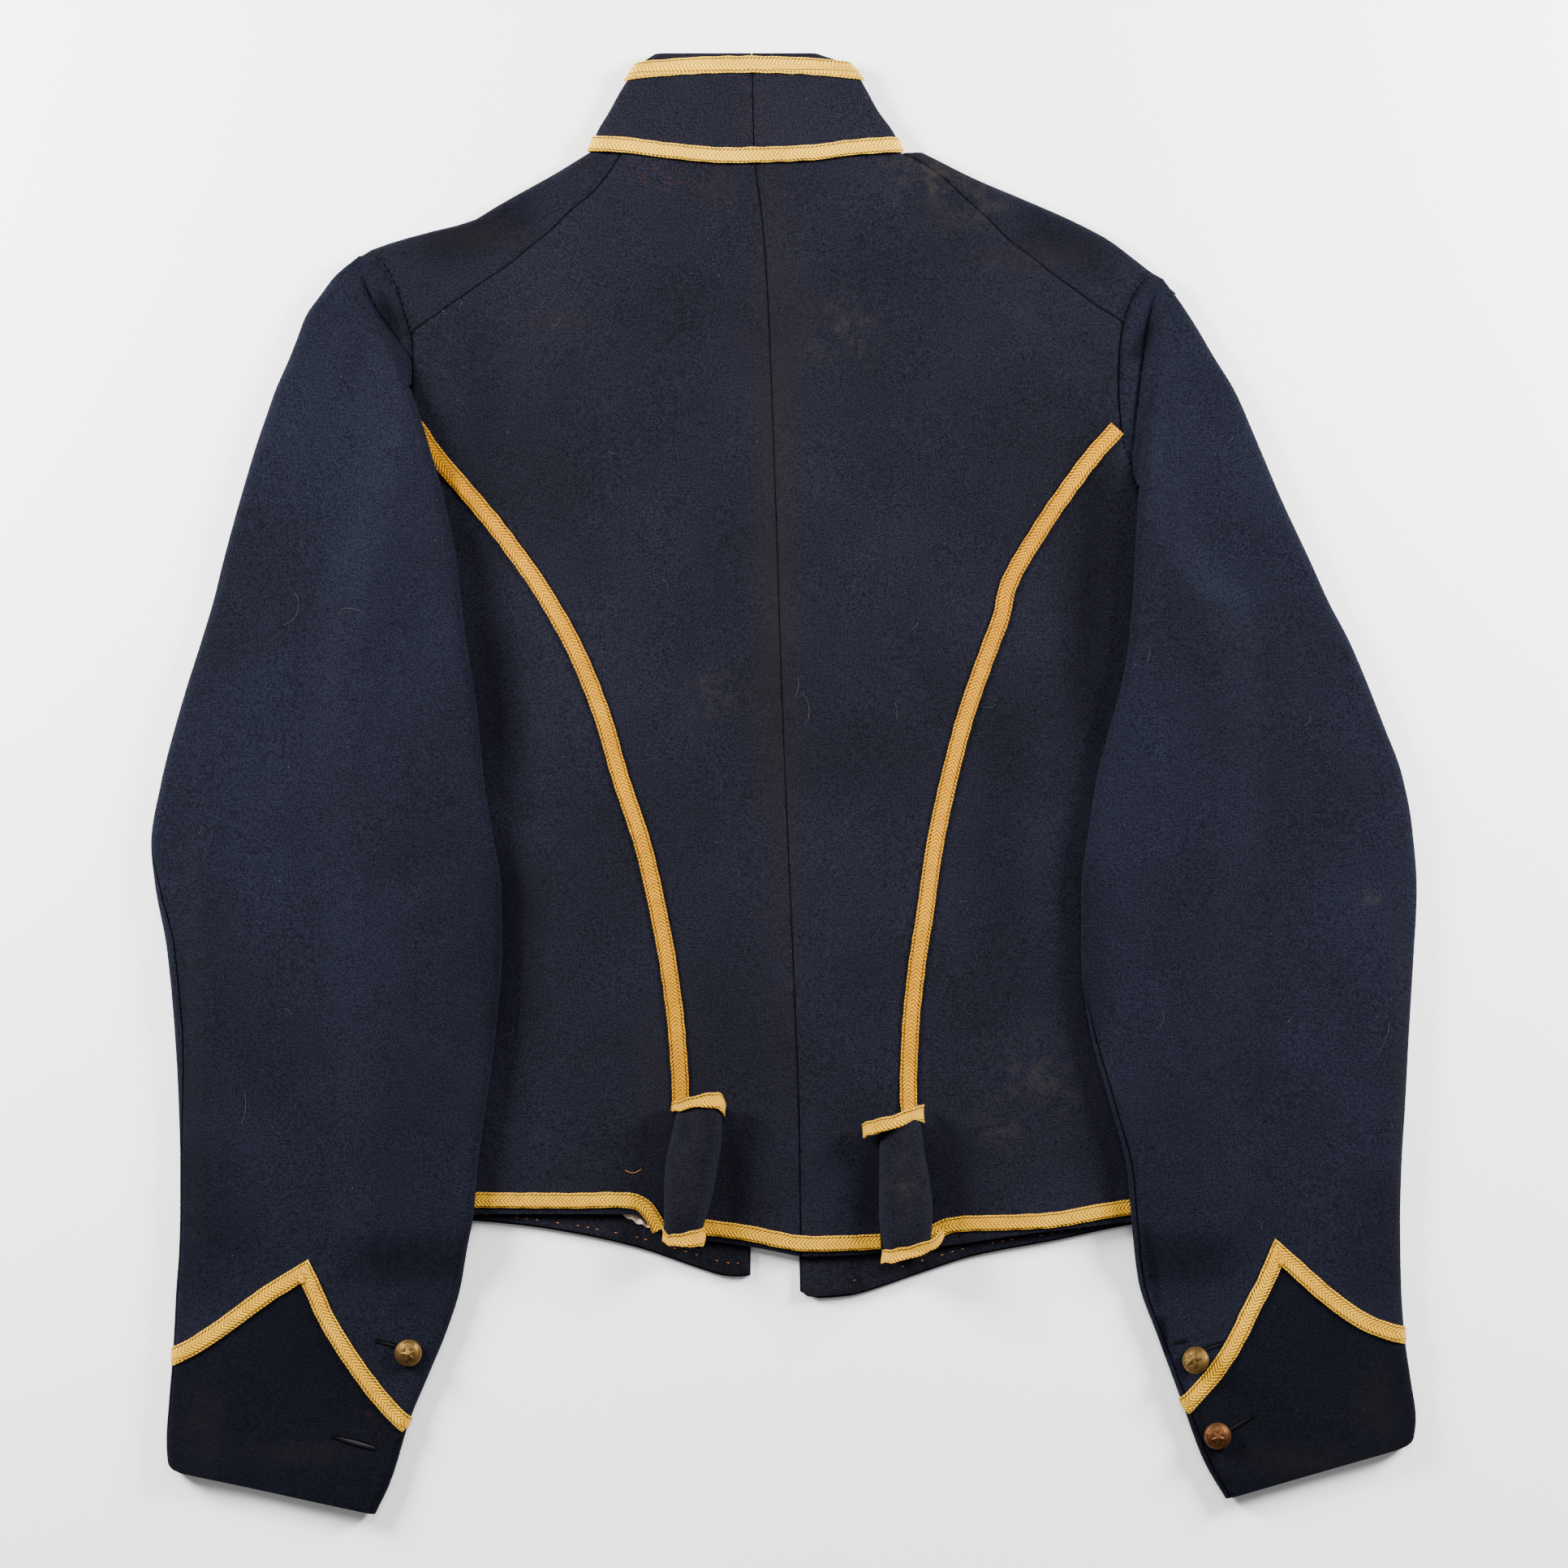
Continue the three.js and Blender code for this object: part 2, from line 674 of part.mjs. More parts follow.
// A sleeve section as two paths from its outer edge: over the top to the inner edge and on to the
// armhole, or all round below the armpit; and back along the bottom.
function sleeveSection(side, row) {
  const width = row.outer - row.fold;
  const reach = Math.min(EDGE_REACH, width / 3);
  const yAt = (out) => mix(row.outerY, row.foldY, (row.outer - out) / Math.max(width, 1));
  const isOpen = row.foldY > side.armhole[0].y;
  const armhole = read(side.armhole, 'y', 'out', row.foldY) + gapAt(side.armhole, 'y', 'out', row.foldY);
  const place = (out, z) => new THREE.Vector3(side.sign * out, yAt(out), z);
  const outerTop = sleeveTop(side, row.outer - reach, yAt(row.outer - reach));
  const over = [];
  for (let k = 0; k <= 6; k += 1) {
    const angle = (k * Math.PI) / 12;
    over.push(place(row.outer - reach + reach * Math.cos(angle), (outerTop / 2) * (1 + Math.sin(angle))));
  }
  for (let k = 1; k <= 24; k += 1) {
    const out = mix(row.outer - reach, row.fold + reach, k / 24);
    over.push(place(out, sleeveTop(side, out, yAt(out))));
  }
  const innerTop = sleeveTop(side, row.fold + reach, yAt(row.fold + reach));
  const valley = row.fold - armhole;
  const isValley = isOpen && valley >= 0;
  const innerLow = isValley ? BODY_HEIGHT : sleeveSupport(side, row.fold + reach, yAt(row.fold));
  const middle = (innerTop + innerLow) / 2;
  const half = (innerTop - innerLow) / 2;
  const quarters = isValley ? 6 : 12;
  for (let k = 1; k <= quarters; k += 1) {
    const angle = (k * Math.PI) / 12;
    over.push(place(row.fold + reach - reach * Math.sin(angle), middle + half * Math.cos(angle)));
  }
  const tip = pathLength(over.slice(0, over.length - (isValley ? 0 : 6)));
  if (isValley) {
    const foot = Math.min(4, valley);
    for (let k = 1; k <= 6; k += 1) {
      const angle = (k * Math.PI) / 12;
      over.push(place(row.fold - foot * (1 - Math.cos(angle)), middle - half * Math.sin(angle)));
    }
    over.push(place(Math.min(armhole, row.fold - foot - 0.01), BODY_HEIGHT));
  } else {
    const end = isOpen ? Math.max(armhole, row.fold + reach + 0.5) : row.outer - reach;
    for (let k = 1; k <= 30; k += 1) {
      const out = mix(row.fold + reach, end, k / 30);
      over.push(place(out, isOpen ? innerLow : sleeveSupport(side, out, yAt(out))));
    }
  }
  const under = [];
  for (let k = 0; k <= 6; k += 1) {
    const angle = (k * Math.PI) / 12;
    under.push(place(row.outer - reach + reach * Math.cos(angle), (outerTop / 2) * (1 - Math.sin(angle))));
  }
  const endUnder = isOpen ? Math.min(armhole, row.outer - reach - 0.5) : row.fold + reach;
  for (let k = 1; k <= 30; k += 1) {
    const out = mix(row.outer - reach, endUnder, k / 30);
    under.push(place(out, isOpen ? 0 : sleeveSupport(side, out, yAt(out))));
  }
  if (!isOpen) {
    over.push(...under.slice(0, 6).reverse());
  }
  return { over, under, tip, isOpen };
}

// Points of a sleeve section, where a negative distance runs back along the bottom.
function around(section, list) {
  return list.map((s) => {
    const [point] = walkWithDirection(s < 0 ? section.under : section.over, [Math.abs(s)]);
    if (s < 0) {
      point.across.negate();
    }
    return point;
  });
}

function sleevePieces(side) {
  const topRows = [];
  const underRows = [];
  for (const row of side.sleeve) {
    const section = sleeveSection(side, row);
    const whole = pathLength(section.over);
    const seam = section.isOpen ? whole : section.tip + row.seam;
    const tail = seam - section.tip + 7;
    const inner = tail > 20 ? [[14, 5], [tail - 14, 2]] : [[tail, 7]];
    const across = stretches(row.lip, seam, [[7 - row.lip, 3], [null, 7], ...inner]);
    topRows.push(ordered(side, around(section, across)));
    const gap = row.foldY > SHOULDER_START ? SHOULDER_SEAM_GAP : SLEEVE_SEAM_GAP;
    const near = section.isOpen ? 3 : Math.max(3, 7 - row.seam);
    if (section.isOpen) {
      const start = -pathLength(section.under);
      const list = stretches(start, row.lip - gap, [[3, 2], [null, 8], [10 + row.lip, 3]]);
      underRows.push(ordered(side, around(section, list)));
    } else {
      const list = stretches(seam + gap, whole + row.lip - gap, [[near, 2], [null, 8], [10 + row.lip, 3]]);
      const wrapped = list.map((s) => (s > whole ? s - whole : s));
      underRows.push(ordered(side, around(section, wrapped)));
    }
  }
  return { topRows, underRows };
}

function addSleeve(side) {
  const { topRows, underRows } = sleevePieces(side);
  addPiece(`sleeve_top_${side.name}`, wallGeometry(topRows, -WALL, 0), SLEEVE_NAVY);
  addPiece(`sleeve_under_${side.name}`, wallGeometry(underRows, -WALL, 0), SLEEVE_NAVY);
}

// The sleeve's upper face at a point seen from above, its rounded long edges included.
function sleeveFace(side, x, y) {
  const out = side.sign * x;
  let low = 0;
  let high = side.sleeve.length - 1;
  const rowAt = (v) => {
    const k = Math.min(side.sleeve.length - 2, Math.floor(v));
    const [from, to] = [side.sleeve[k], side.sleeve[k + 1]];
    return Object.fromEntries(SLEEVE_COLUMNS.map((name) => [name, mix(from[name], to[name], v - k)]));
  };
  for (let k = 0; k < 24; k += 1) {
    const v = (low + high) / 2;
    const row = rowAt(v);
    const rowY = mix(row.outerY, row.foldY, (row.outer - out) / (row.outer - row.fold));
    if (rowY < y) {
      low = v;
    } else {
      high = v;
    }
  }
  const row = rowAt(low);
  const top = sleeveTop(side, out, y);
  const past = Math.max(out - row.outer + EDGE_REACH, row.fold + EDGE_REACH - out, 0) / EDGE_REACH;
  const isOuter = out > (row.outer + row.fold) / 2;
  const base = isOuter ? 0 : sleeveSupport(side, row.fold + EDGE_REACH, y);
  const middle = (top + base) / 2;
  return past > 0 ? middle + (top - middle) * Math.sqrt(Math.max(0, 1 - Math.min(past, 0.97) ** 2)) : top;
}

// A smooth curve through points seen from above.
function curveOf(line) {
  return new THREE.CatmullRomCurve3(line.map(([x, y]) => new THREE.Vector3(x, y, 0)), false, 'centripetal');
}

// A tape laid along a line seen from above, on a face that a function gives.
function tapeGeometry(line, face, width, step) {
  const curve = curveOf(line);
  const count = Math.round(curve.getLength() / step);
  const rows = [];
  for (let i = 0; i <= count; i += 1) {
    const middle = curve.getPointAt(i / count);
    const along = curve.getTangentAt(i / count);
    rows.push(tapeRow(middle, new THREE.Vector3(along.y, -along.x, 0), width, face));
  }
  return wallGeometry(rows, TAPE_LIFT, TAPE_LIFT + TAPE_THICKNESS);
}

// One row of a tape: its left edge, middle and right edge, with across pointing to its right.
function tapeRow(middle, across, width, face) {
  return [-0.5, 0, 0.5].map((part) => {
    const point = middle.clone().addScaledVector(across, part * width);
    point.z = face(point.x, point.y);
    return point;
  });
}

// A tape that turns a sharp corner at one of its points, with a mitre there.
function chevronGeometry(line, face, width, step) {
  const peak = line.reduce((best, point, k) => (point[1] > line[best][1] ? k : best), 0);
  const legs = [line.slice(0, peak + 1), line.slice(peak)].map(curveOf);
  const rows = [];
  const ends = [legs[0].getTangentAt(1), legs[1].getTangentAt(0)];
  const bisector = ends[0].clone().add(ends[1]).normalize();
  const spread = 1 / Math.max(0.3, bisector.dot(ends[0]));
  legs.forEach((curve, leg) => {
    const count = Math.round(curve.getLength() / step);
    for (let i = leg; i <= count; i += 1) {
      const isCorner = leg === 0 && i === count;
      const along = isCorner ? bisector : curve.getTangentAt(i / count);
      const across = new THREE.Vector3(along.y, -along.x, 0).multiplyScalar(isCorner ? spread : 1);
      rows.push(tapeRow(curve.getPointAt(i / count), across, width, face));
    }
  });
  return wallGeometry(rows, CUFF_TAPE_LIFT, CUFF_TAPE_LIFT + TAPE_THICKNESS);
}

// A collar half: from the centre front along the lower layer, round the side fold to the back seam.
function collarSection(side, row) {
  const fold = side.sign * (side.sign < 0 ? row.left : row.right);
  const seam = side.sign * row.seam + SEAM_GAP / 2 + 0.02;
  const front = side.sign * COLLAR_FRONT_X + SEAM_GAP;
  const reach = EDGE_REACH;
  const middle = COLLAR_HEIGHT / 2;
  const isNeck = row.y === COLLAR[0].y;
  const yAt = (out) => row.y - (isNeck ? read(NECK_SEAM, 'x', 'drop', side.sign * out) - SEAM_GAP - 0.25 : 0);
  const place = (out, z) => new THREE.Vector3(side.sign * out, yAt(out), z);
  const lower = [];
  const upper = [];
  for (let k = 0; k <= 8; k += 1) {
    lower.push(place(mix(front, fold - reach, k / 8), 0));
  }
  for (let k = 1; k <= 6; k += 1) {
    const angle = (k * Math.PI) / 12;
    lower.push(place(fold - reach + reach * Math.sin(angle), middle - middle * Math.cos(angle)));
  }
  for (let k = 0; k <= 6; k += 1) {
    const angle = (k * Math.PI) / 12;
    upper.push(place(fold - reach + reach * Math.cos(angle), middle + middle * Math.sin(angle)));
  }
  for (let k = 1; k <= 8; k += 1) {
    upper.push(place(mix(fold - reach, seam, k / 8), COLLAR_HEIGHT));
  }
  const under = walk(lower, stretches(0, pathLength(lower), [[null, 3], [7, 3]]));
  const over = walk(upper, stretches(0, pathLength(upper), [[7, 3], [null, 4]]));
  return ordered(side, [...under, ...over.slice(1)]);
}

// A tape round the back of the collar, made from the collar's sections between two lines of heights.
function collarTape(low, high) {
  const reach = EDGE_REACH;
  const middle = COLLAR_HEIGHT / 2;
  const rows = [0, 0.5, 1].map((part) => {
    const lineY = (x) => mix(low(x), high(x), part);
    const points = [];
    const foldAt = (name, x) => read(COLLAR, 'y', name, lineY(x));
    const left = foldAt('left', -90);
    const right = foldAt('right', 50);
    const place = (x, z) => new THREE.Vector3(x, lineY(x), z);
    for (let k = 1; k <= 6; k += 1) {
      const angle = (k * Math.PI) / 12;
      points.push(place(left + reach - reach * Math.cos(angle), middle + middle * Math.sin(angle)));
    }
    for (let k = 1; k <= 8; k += 1) {
      points.push(place(mix(left + reach, right - reach, k / 9), COLLAR_HEIGHT));
    }
    for (let k = 6; k >= 1; k -= 1) {
      const angle = (k * Math.PI) / 12;
      points.push(place(right - reach + reach * Math.cos(angle), middle + middle * Math.sin(angle)));
    }
    return points;
  });
  return wallGeometry(rows, TAPE_LIFT, TAPE_LIFT + TAPE_THICKNESS);
}

function addCollar() {
  for (const side of SIDES) {
    const rows = COLLAR.map((row) => collarSection(side, row));
    addPiece(`collar_${side.name}`, wallGeometry(rows, -WALL, 0), NAVY);
  }
  const neck = (x) => COLLAR[0].y - read(NECK_SEAM, 'x', 'drop', x) + NECK_TAPE_RISE;
  const top = (x) => COLLAR_TAPE_TOP + COLLAR_TAPE_BOW * (1 - ((x - COLLAR_FRONT_X) / 60) ** 2);
  const lowEdge = (x) => top(x) - TAPE_WIDTH / 2;
  addPiece('tape_collar_base', collarTape(neck, (x) => neck(x) + HEM_TAPE_WIDTH), TAPE_YELLOW);
  addPiece('tape_collar_top', collarTape(lowEdge, (x) => lowEdge(x) + TAPE_WIDTH), TAPE_YELLOW);
}

// A belt roll: a padded roll that stands on the back. Its arch has its points in order over the top.
function rollRing(row) {
  const middle = (row.left + row.right) / 2;
  const half = (row.right - row.left) / 2;
  const base = BODY_HEIGHT + SEAM_GAP;
  const ring = [];
  for (let k = 0; k <= 10; k += 1) {
    const angle = Math.PI - (k * Math.PI) / 10;
    const x = middle + half * Math.sign(Math.cos(angle)) * Math.abs(Math.cos(angle)) ** 0.8;
    const z = base + row.height * Math.abs(Math.sin(angle)) ** 0.75;
    ring.push(new THREE.Vector3(x, row.y + (ROLL_LEAN * (z - base)) / row.height, z));
  }
  return ring;
}

function addRoll(name, rows) {
  const rings = rows.map(rollRing);
  addPiece(`belt_roll_${name}`, loftGeometry(rings), NAVY);
  const bind = (low, high) => {
    const bandRows = [low, (low + high) / 2, high].map((y) => {
      const named = { y };
      for (const column of ['left', 'right', 'height']) {
        named[column] = read(rows, 'y', column, y);
      }
      return rollRing(named).slice(1, 10);
    });
    return wallGeometry(bandRows, BINDING_LIFT, BINDING_LIFT + TAPE_THICKNESS);
  };
  const first = rows[0].y;
  const last = rows[rows.length - 1].y;
  addPiece(`roll_tape_${name}_lower`, bind(first, first + BINDING_WIDTH), TAPE_YELLOW);
  addPiece(`roll_tape_${name}_upper`, bind(last - BINDING_WIDTH, last), TAPE_YELLOW);
}

// A domed cuff button with a rim.
function addButton(button) {
  const radius = CUFF_BUTTON_DIAMETER / 2;
  const rim = CUFF_BUTTON_RIM_HEIGHT;
  const dome = CUFF_BUTTON_HEIGHT - rim;
  const profile = [
    new THREE.Vector2(0, 0),
    new THREE.Vector2(radius - 0.6, 0),
    new THREE.Vector2(radius, rim / 2),
  ];
  for (let k = 0; k <= 3; k += 1) {
    const angle = (k * Math.PI) / 6;
    profile.push(new THREE.Vector2((radius - 0.5) * Math.cos(angle), rim + dome * Math.sin(angle)));
  }
  profile[profile.length - 1].x = 0;
  const geometry = new THREE.LatheGeometry(profile, 14);
  geometry.rotateX(Math.PI / 2);
  const side = SIDES.find((one) => one.sign === button.side);
  let seat = 0;
  for (let k = 0; k < 12; k += 1) {
    const angle = (k * Math.PI) / 6;
    const x = button.x + radius * Math.cos(angle);
    const y = button.y + radius * Math.sin(angle);
    seat = Math.max(seat, sleeveFace(side, x, y));
  }
  geometry.translate(button.x, button.y, seat + TAPE_LIFT + 0.1);
  addPiece(button.name, geometryOf(solidOf(geometry)), BRASS);
}

// The hem facing inside a front, seen below the back's hem.
function addFacing(side, reach) {
  const hemY = side.body[0].y;
  const front = read(side.body, 'y', 'front', hemY) + FACING_SETBACK;
  const rows = [0, 1, 2].map((k) => {
    const points = [];
    for (let j = 0; j <= 9; j += 1) {
      const out = mix(reach, front, j / 9);
      const hem = hemY - read(side.frontHem, 'out', 'drop', out) + 1;
      const y = mix(hem, hemY + FACING_HEIGHT, k / 2);
      points.push(new THREE.Vector3(side.sign * out, y, WALL + SEAM_GAP));
    }
    return ordered(side, points);
  });
  addPiece(`facing_${side.name}`, wallGeometry(rows, 0, FACING_THICKNESS), NAVY);
}

// The strip of lining that shows below the left side of the hem, with its small puckers.
function addLiningStrip() {
  const left = -90;
  const right = -65;
  const top = -212;
  const low = -220;
  const drop = 9;
  const rows = [0, 1].map((k) => {
    const points = [];
    for (let j = 0; j <= 16; j += 1) {
      const x = mix(left, right, j / 16);
      const pucker = LINING_THICKNESS * Math.sin(j * 1.9);
      const edge = low - drop * smooth((x - left + 2) / (right - left - 1)) + pucker;
      points.push(new THREE.Vector3(x, k ? top : edge, WALL + 2 * SEAM_GAP + FACING_THICKNESS));
    }
    return points;
  });
  addPiece('lining_strip', wallGeometry(rows, 0, LINING_THICKNESS), LINING_CREAM);
}

for (const side of SIDES) {
  addBack(side);
  addFront(side);
  addSleeve(side);
}
addFacing(SIDES[0], 170);
addFacing(SIDES[1], 190);
addLiningStrip();
addCollar();
for (const [name, line] of [['left', LEFT_SEAM_TAPE], ['right', RIGHT_SEAM_TAPE]]) {
  addPiece(`tape_seam_${name}`, tapeGeometry(line, bodyTop, TAPE_WIDTH, TAPE_STEP), SEAM_TAPE_YELLOW);
}
const hemTapes = [['left', LEFT_HEM_TAPE], ['centre', CENTRE_HEM_TAPE], ['right', RIGHT_HEM_TAPE]];
for (const [name, line] of hemTapes) {
  addPiece(`tape_hem_${name}`, tapeGeometry(line, bodyTop, HEM_TAPE_WIDTH, TAPE_STEP), TAPE_YELLOW);
}
SIDES.forEach((side, k) => {
  const line = [LEFT_CUFF_TAPE, RIGHT_CUFF_TAPE][k];
  const face = (x, y) => sleeveFace(side, x, y);
  addPiece(`tape_cuff_${side.name}`, chevronGeometry(line, face, TAPE_WIDTH, CHEVRON_STEP), TAPE_YELLOW);
});
addRoll('left', LEFT_ROLL);
addRoll('right', RIGHT_ROLL);
CUFF_BUTTONS.forEach(addButton);

export default jacket;
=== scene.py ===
"""A mounted services jacket laid face down, its back up and its sleeves down at its sides.

Sizes in the tables are millimetres in the part's own frame: x to the right, y to the collar, z up.
Distances called out are measured outwards from x = 0 on each side.
"""

import json
import logging
import math
import random
from collections.abc import Callable
from dataclasses import dataclass
from enum import Enum

import bpy
import numpy as np
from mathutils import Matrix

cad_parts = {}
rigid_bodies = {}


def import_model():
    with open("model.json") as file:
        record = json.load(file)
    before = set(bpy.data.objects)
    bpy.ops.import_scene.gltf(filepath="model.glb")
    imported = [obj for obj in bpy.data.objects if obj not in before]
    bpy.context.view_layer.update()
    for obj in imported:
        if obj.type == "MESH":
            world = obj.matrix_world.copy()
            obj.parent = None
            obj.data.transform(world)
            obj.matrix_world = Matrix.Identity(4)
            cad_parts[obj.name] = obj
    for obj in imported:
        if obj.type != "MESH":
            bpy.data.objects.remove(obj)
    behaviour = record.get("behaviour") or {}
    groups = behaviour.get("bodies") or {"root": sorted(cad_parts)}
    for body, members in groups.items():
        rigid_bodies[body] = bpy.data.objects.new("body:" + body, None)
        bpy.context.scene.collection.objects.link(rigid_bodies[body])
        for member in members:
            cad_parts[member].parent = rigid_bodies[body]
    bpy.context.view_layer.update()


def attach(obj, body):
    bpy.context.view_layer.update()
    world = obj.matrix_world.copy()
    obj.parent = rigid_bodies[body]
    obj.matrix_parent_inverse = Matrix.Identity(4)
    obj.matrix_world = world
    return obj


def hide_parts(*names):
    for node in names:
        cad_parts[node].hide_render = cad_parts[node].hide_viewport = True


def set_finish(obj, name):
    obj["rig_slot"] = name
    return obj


logging.basicConfig(level=logging.INFO, format="%(message)s")
LOG = logging.getLogger("jacket")
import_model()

MM = 0.001
# One number or an array of them, and a function that gives a face's height at places seen from above.
Number = float | np.ndarray
Face = Callable[[np.ndarray, np.ndarray], np.ndarray]
WALL = 2.2
BODY_HEIGHT = 6.6
COLLAR_HEIGHT = 7.6
SLEEVE_HEIGHT = 8.0
TAPE_WIDTH = 8.7
TAPE_THICKNESS = 0.8
TAPE_LIFT = 0.25
SEAM_GAP = 0.3
SLEEVE_REST = 8.2
CUFF_DROP = (-261.0, -226.0)
SLEEVE_RAMP = 32.0
SLEEVE_RAMP_REACH = 30.0
HEAD_RISE_LENGTH = 60.0
HEM_FADE = 60.0
NECK_FADE = 24.0
EDGE_REACH = 5.0
CUFF_CORNER = 4.5
SEED = 7


class Curve:
    """A smooth line through a table's column that keeps between neighbouring rows."""

    def __init__(self, at: np.ndarray, values: np.ndarray) -> None:
        """Works out the tangents at the rows.

        Args:
            at: the table's first column.
            values: the column read.
        """
        self.at = np.asarray(at, float)
        self.values = np.asarray(values, float)
        slope = np.diff(self.values) / np.diff(self.at)
        tangents = np.zeros(len(self.at))
        tangents[0], tangents[-1] = slope[0], slope[-1]
        before, after = slope[:-1], slope[1:]
        same = before * after > 0
        tangents[1:-1][same] = 2 * before[same] * after[same] / (before + after)[same]
        self.tangents = tangents

    def __call__(self, x: Number) -> Number:
        """The column's value at x, one number or an array of them.

        Args:
            x: where to read it.

        Returns:
            The value.
        """
        x = np.clip(x, self.at[0], self.at[-1])
        k = np.clip(np.searchsorted(self.at, x, side="right") - 1, 0, len(self.at) - 2)
        span = self.at[k + 1] - self.at[k]
        t = (x - self.at[k]) / span
        start = (1 + 2 * t) * (1 - t) ** 2 * self.values[k] + t * (1 - t) ** 2 * span * self.tangents[k]
        end = t * t * (3 - 2 * t) * self.values[k + 1] + t * t * (t - 1) * span * self.tangents[k + 1]
        return start + end


class Table:
    """A short table with named columns, read along its first one."""

    def __init__(self, names: str, rows: list) -> None:
        """Takes the columns' names, with spaces between, and the rows."""
        data = np.array(rows, float)
        self.names = names.split()
        self.rows = data
        self.first = data[0, 0]
        self.last = data[-1, 0]
        self.curves = {name: Curve(data[:, 0], data[:, k]) for k, name in enumerate(self.names)}

    def read(self, name: str, at: Number) -> Number:
        """The named column at the given place."""
        return self.curves[name](at)


LEFT_BODY = Table("y fold seam front", [
    (-222, 209, 62, 17), (-200, 208, 59, 17), (-161, 208, 53, 17), (-132, 210, 55, 17),
    (-98, 212, 59, 18), (-65, 215, 65, 18), (-31, 218, 73, 18), (-2, 220, 84, 19),
    (36, 221, 94, 19), (70, 219, 108, 19), (94, 215, 122, 20), (103, 217, 127, 20),
    (137, 226, 152, 20), (170, 226, 180, 20), (188, 226, 194, 20), (204, 226, 201, 20),
    (222, 226, 201, 20), (233, 226, 192, 20), (244, 225, 177, 20), (258, 224, 157, 20),
    (269, 221, 141, 20), (274, 217, 135, 20), (279, 205, 129, 20), (285, 184, 121, 20),
    (291, 161, 115, 20), (297, 151, 109, 20), (305, 137, 99, 20), (315, 119, 91, 20),
    (326, 101, 84, 20),
])
RIGHT_BODY = Table("y fold seam front", [
    (-228, 217, 79, 8), (-200, 217, 72, 7), (-161, 216, 64, 5), (-132, 218, 65, 3),
    (-98, 220, 68, 0), (-65, 222, 73, -3), (-31, 223, 78, -6), (-2, 223, 85, -9),
    (36, 224, 94, -12), (70, 221, 106, -14), (94, 216, 114, -16), (103, 218, 116, -16),
    (137, 226, 136, -18), (170, 226, 160, -19), (186, 226, 175, -19), (202, 226, 182, -19),
    (226, 226, 182, -19), (238, 224, 175, -19), (247, 218, 161, -19), (256, 206, 149, -19),
    (263, 192, 139, -19), (272, 180, 128, -19), (281, 168, 116, -19), (291, 149, 106, -19),
    (302, 124, 94, -19), (313, 98, 82, -19), (322, 80, 69, -19), (326, 72, 61, -19),
])
LEFT_ARMHOLE = Table("y out", [
    (95, 215), (116, 208), (145, 201), (170, 196), (189, 194), (203, 192), (226, 191.5),
    (243, 196), (257, 200), (268, 206), (274, 213),
])
RIGHT_ARMHOLE = Table("y out", [
    (95, 216), (107, 203), (128, 191), (154, 182), (176, 175), (206, 172.5), (223, 173),
    (238, 175), (250, 179), (259, 184.5), (263, 189),
])
CENTRE_SEAM = Table("y x", [
    (-245, 9), (-182, 8), (-98, 5), (28, -0.4), (154, -4.6), (263, -9), (326, -15),
])
LEFT_BACK_HEM = Table("out drop", [
    (-9, 22), (17, 17), (38, 14), (62, 11), (70, 6), (78, 0), (210, 0),
])
RIGHT_BACK_HEM = Table("out drop", [
    (9, 16), (31, 15.5), (49, 14), (79, 11), (119, 5), (161, 0), (217, -6),
])
LEFT_FRONT_HEM = Table("out drop", [
    (17, 32), (26, 33), (36, 31), (45, 28), (78, 17), (116, 9), (137, 6), (158, 4), (209, 0),
])
RIGHT_FRONT_HEM = Table("out drop", [
    (8, 34), (13, 38), (35, 36.5), (47, 33), (73, 24), (98, 16), (140, 8), (178, 0), (217, -6),
])
NECK_SEAM = Table("x drop", [
    (-101, 0), (-83, 1), (-63, 3.5), (-27, 6.4), (-9, 6), (15, 5), (33, 2.5), (69, 0),
])
# outer and fold are a sleeve's two long edges with their own y, seam is the arc from the inner edge
# to the seam beneath it, and lip is the arc from the outer edge to the seam on its face.
LEFT_SLEEVE = Table("along outer outerY fold foldY seam lip", [
    ((a[1] + a[3]) / 2, *a) for a in [
        (318, -354, 211, -377, 8, 1.5), (319, -340, 203, -360, 8, 2), (317.5, -316, 193, -328, 8, 3),
        (316, -298, 183, -304, 8, 3), (315, -281, 174.5, -283.5, 8, 3), (314, -261, 167.5, -262, 8, 3),
        (312.5, -240, 163.5, -241, 8, 3), (312, -220, 159.5, -220, 8, 3), (312, -195, 157.5, -195, 8, 3),
        (313, -160, 152.5, -160, 8, 5), (315, -125, 148, -125, 8, 7), (319, -84, 145, -84, 8, 7),
        (325, -52, 145.5, -52, 8, 5), (327, -31, 149, -31, 9, 1.5), (322, 0, 154, 0, 14, -3),
        (311, 42, 158.5, 42, 28, -4), (301, 74, 163.5, 74, 42, -4), (295, 94, 166, 94, 52, -4),
        (289.5, 116, 168.5, 116, 8, -4), (281, 147, 175, 147, 8, -4), (272, 177, 183.5, 177, 8, -4),
        (267.5, 190, 187.5, 190, 8, -4), (263, 203, 192, 203, 8, -4), (256, 219, 197, 219, 8, -4),
        (252, 229, 204, 229, 8, -4), (247, 242, 214, 242, 8, -4), (240, 252, 220, 252, 8, -4),
        (231.5, 263, 223, 263, 8, -4), (219.6, 272.5, 218.4, 272.5, 8, -4),
    ]
])
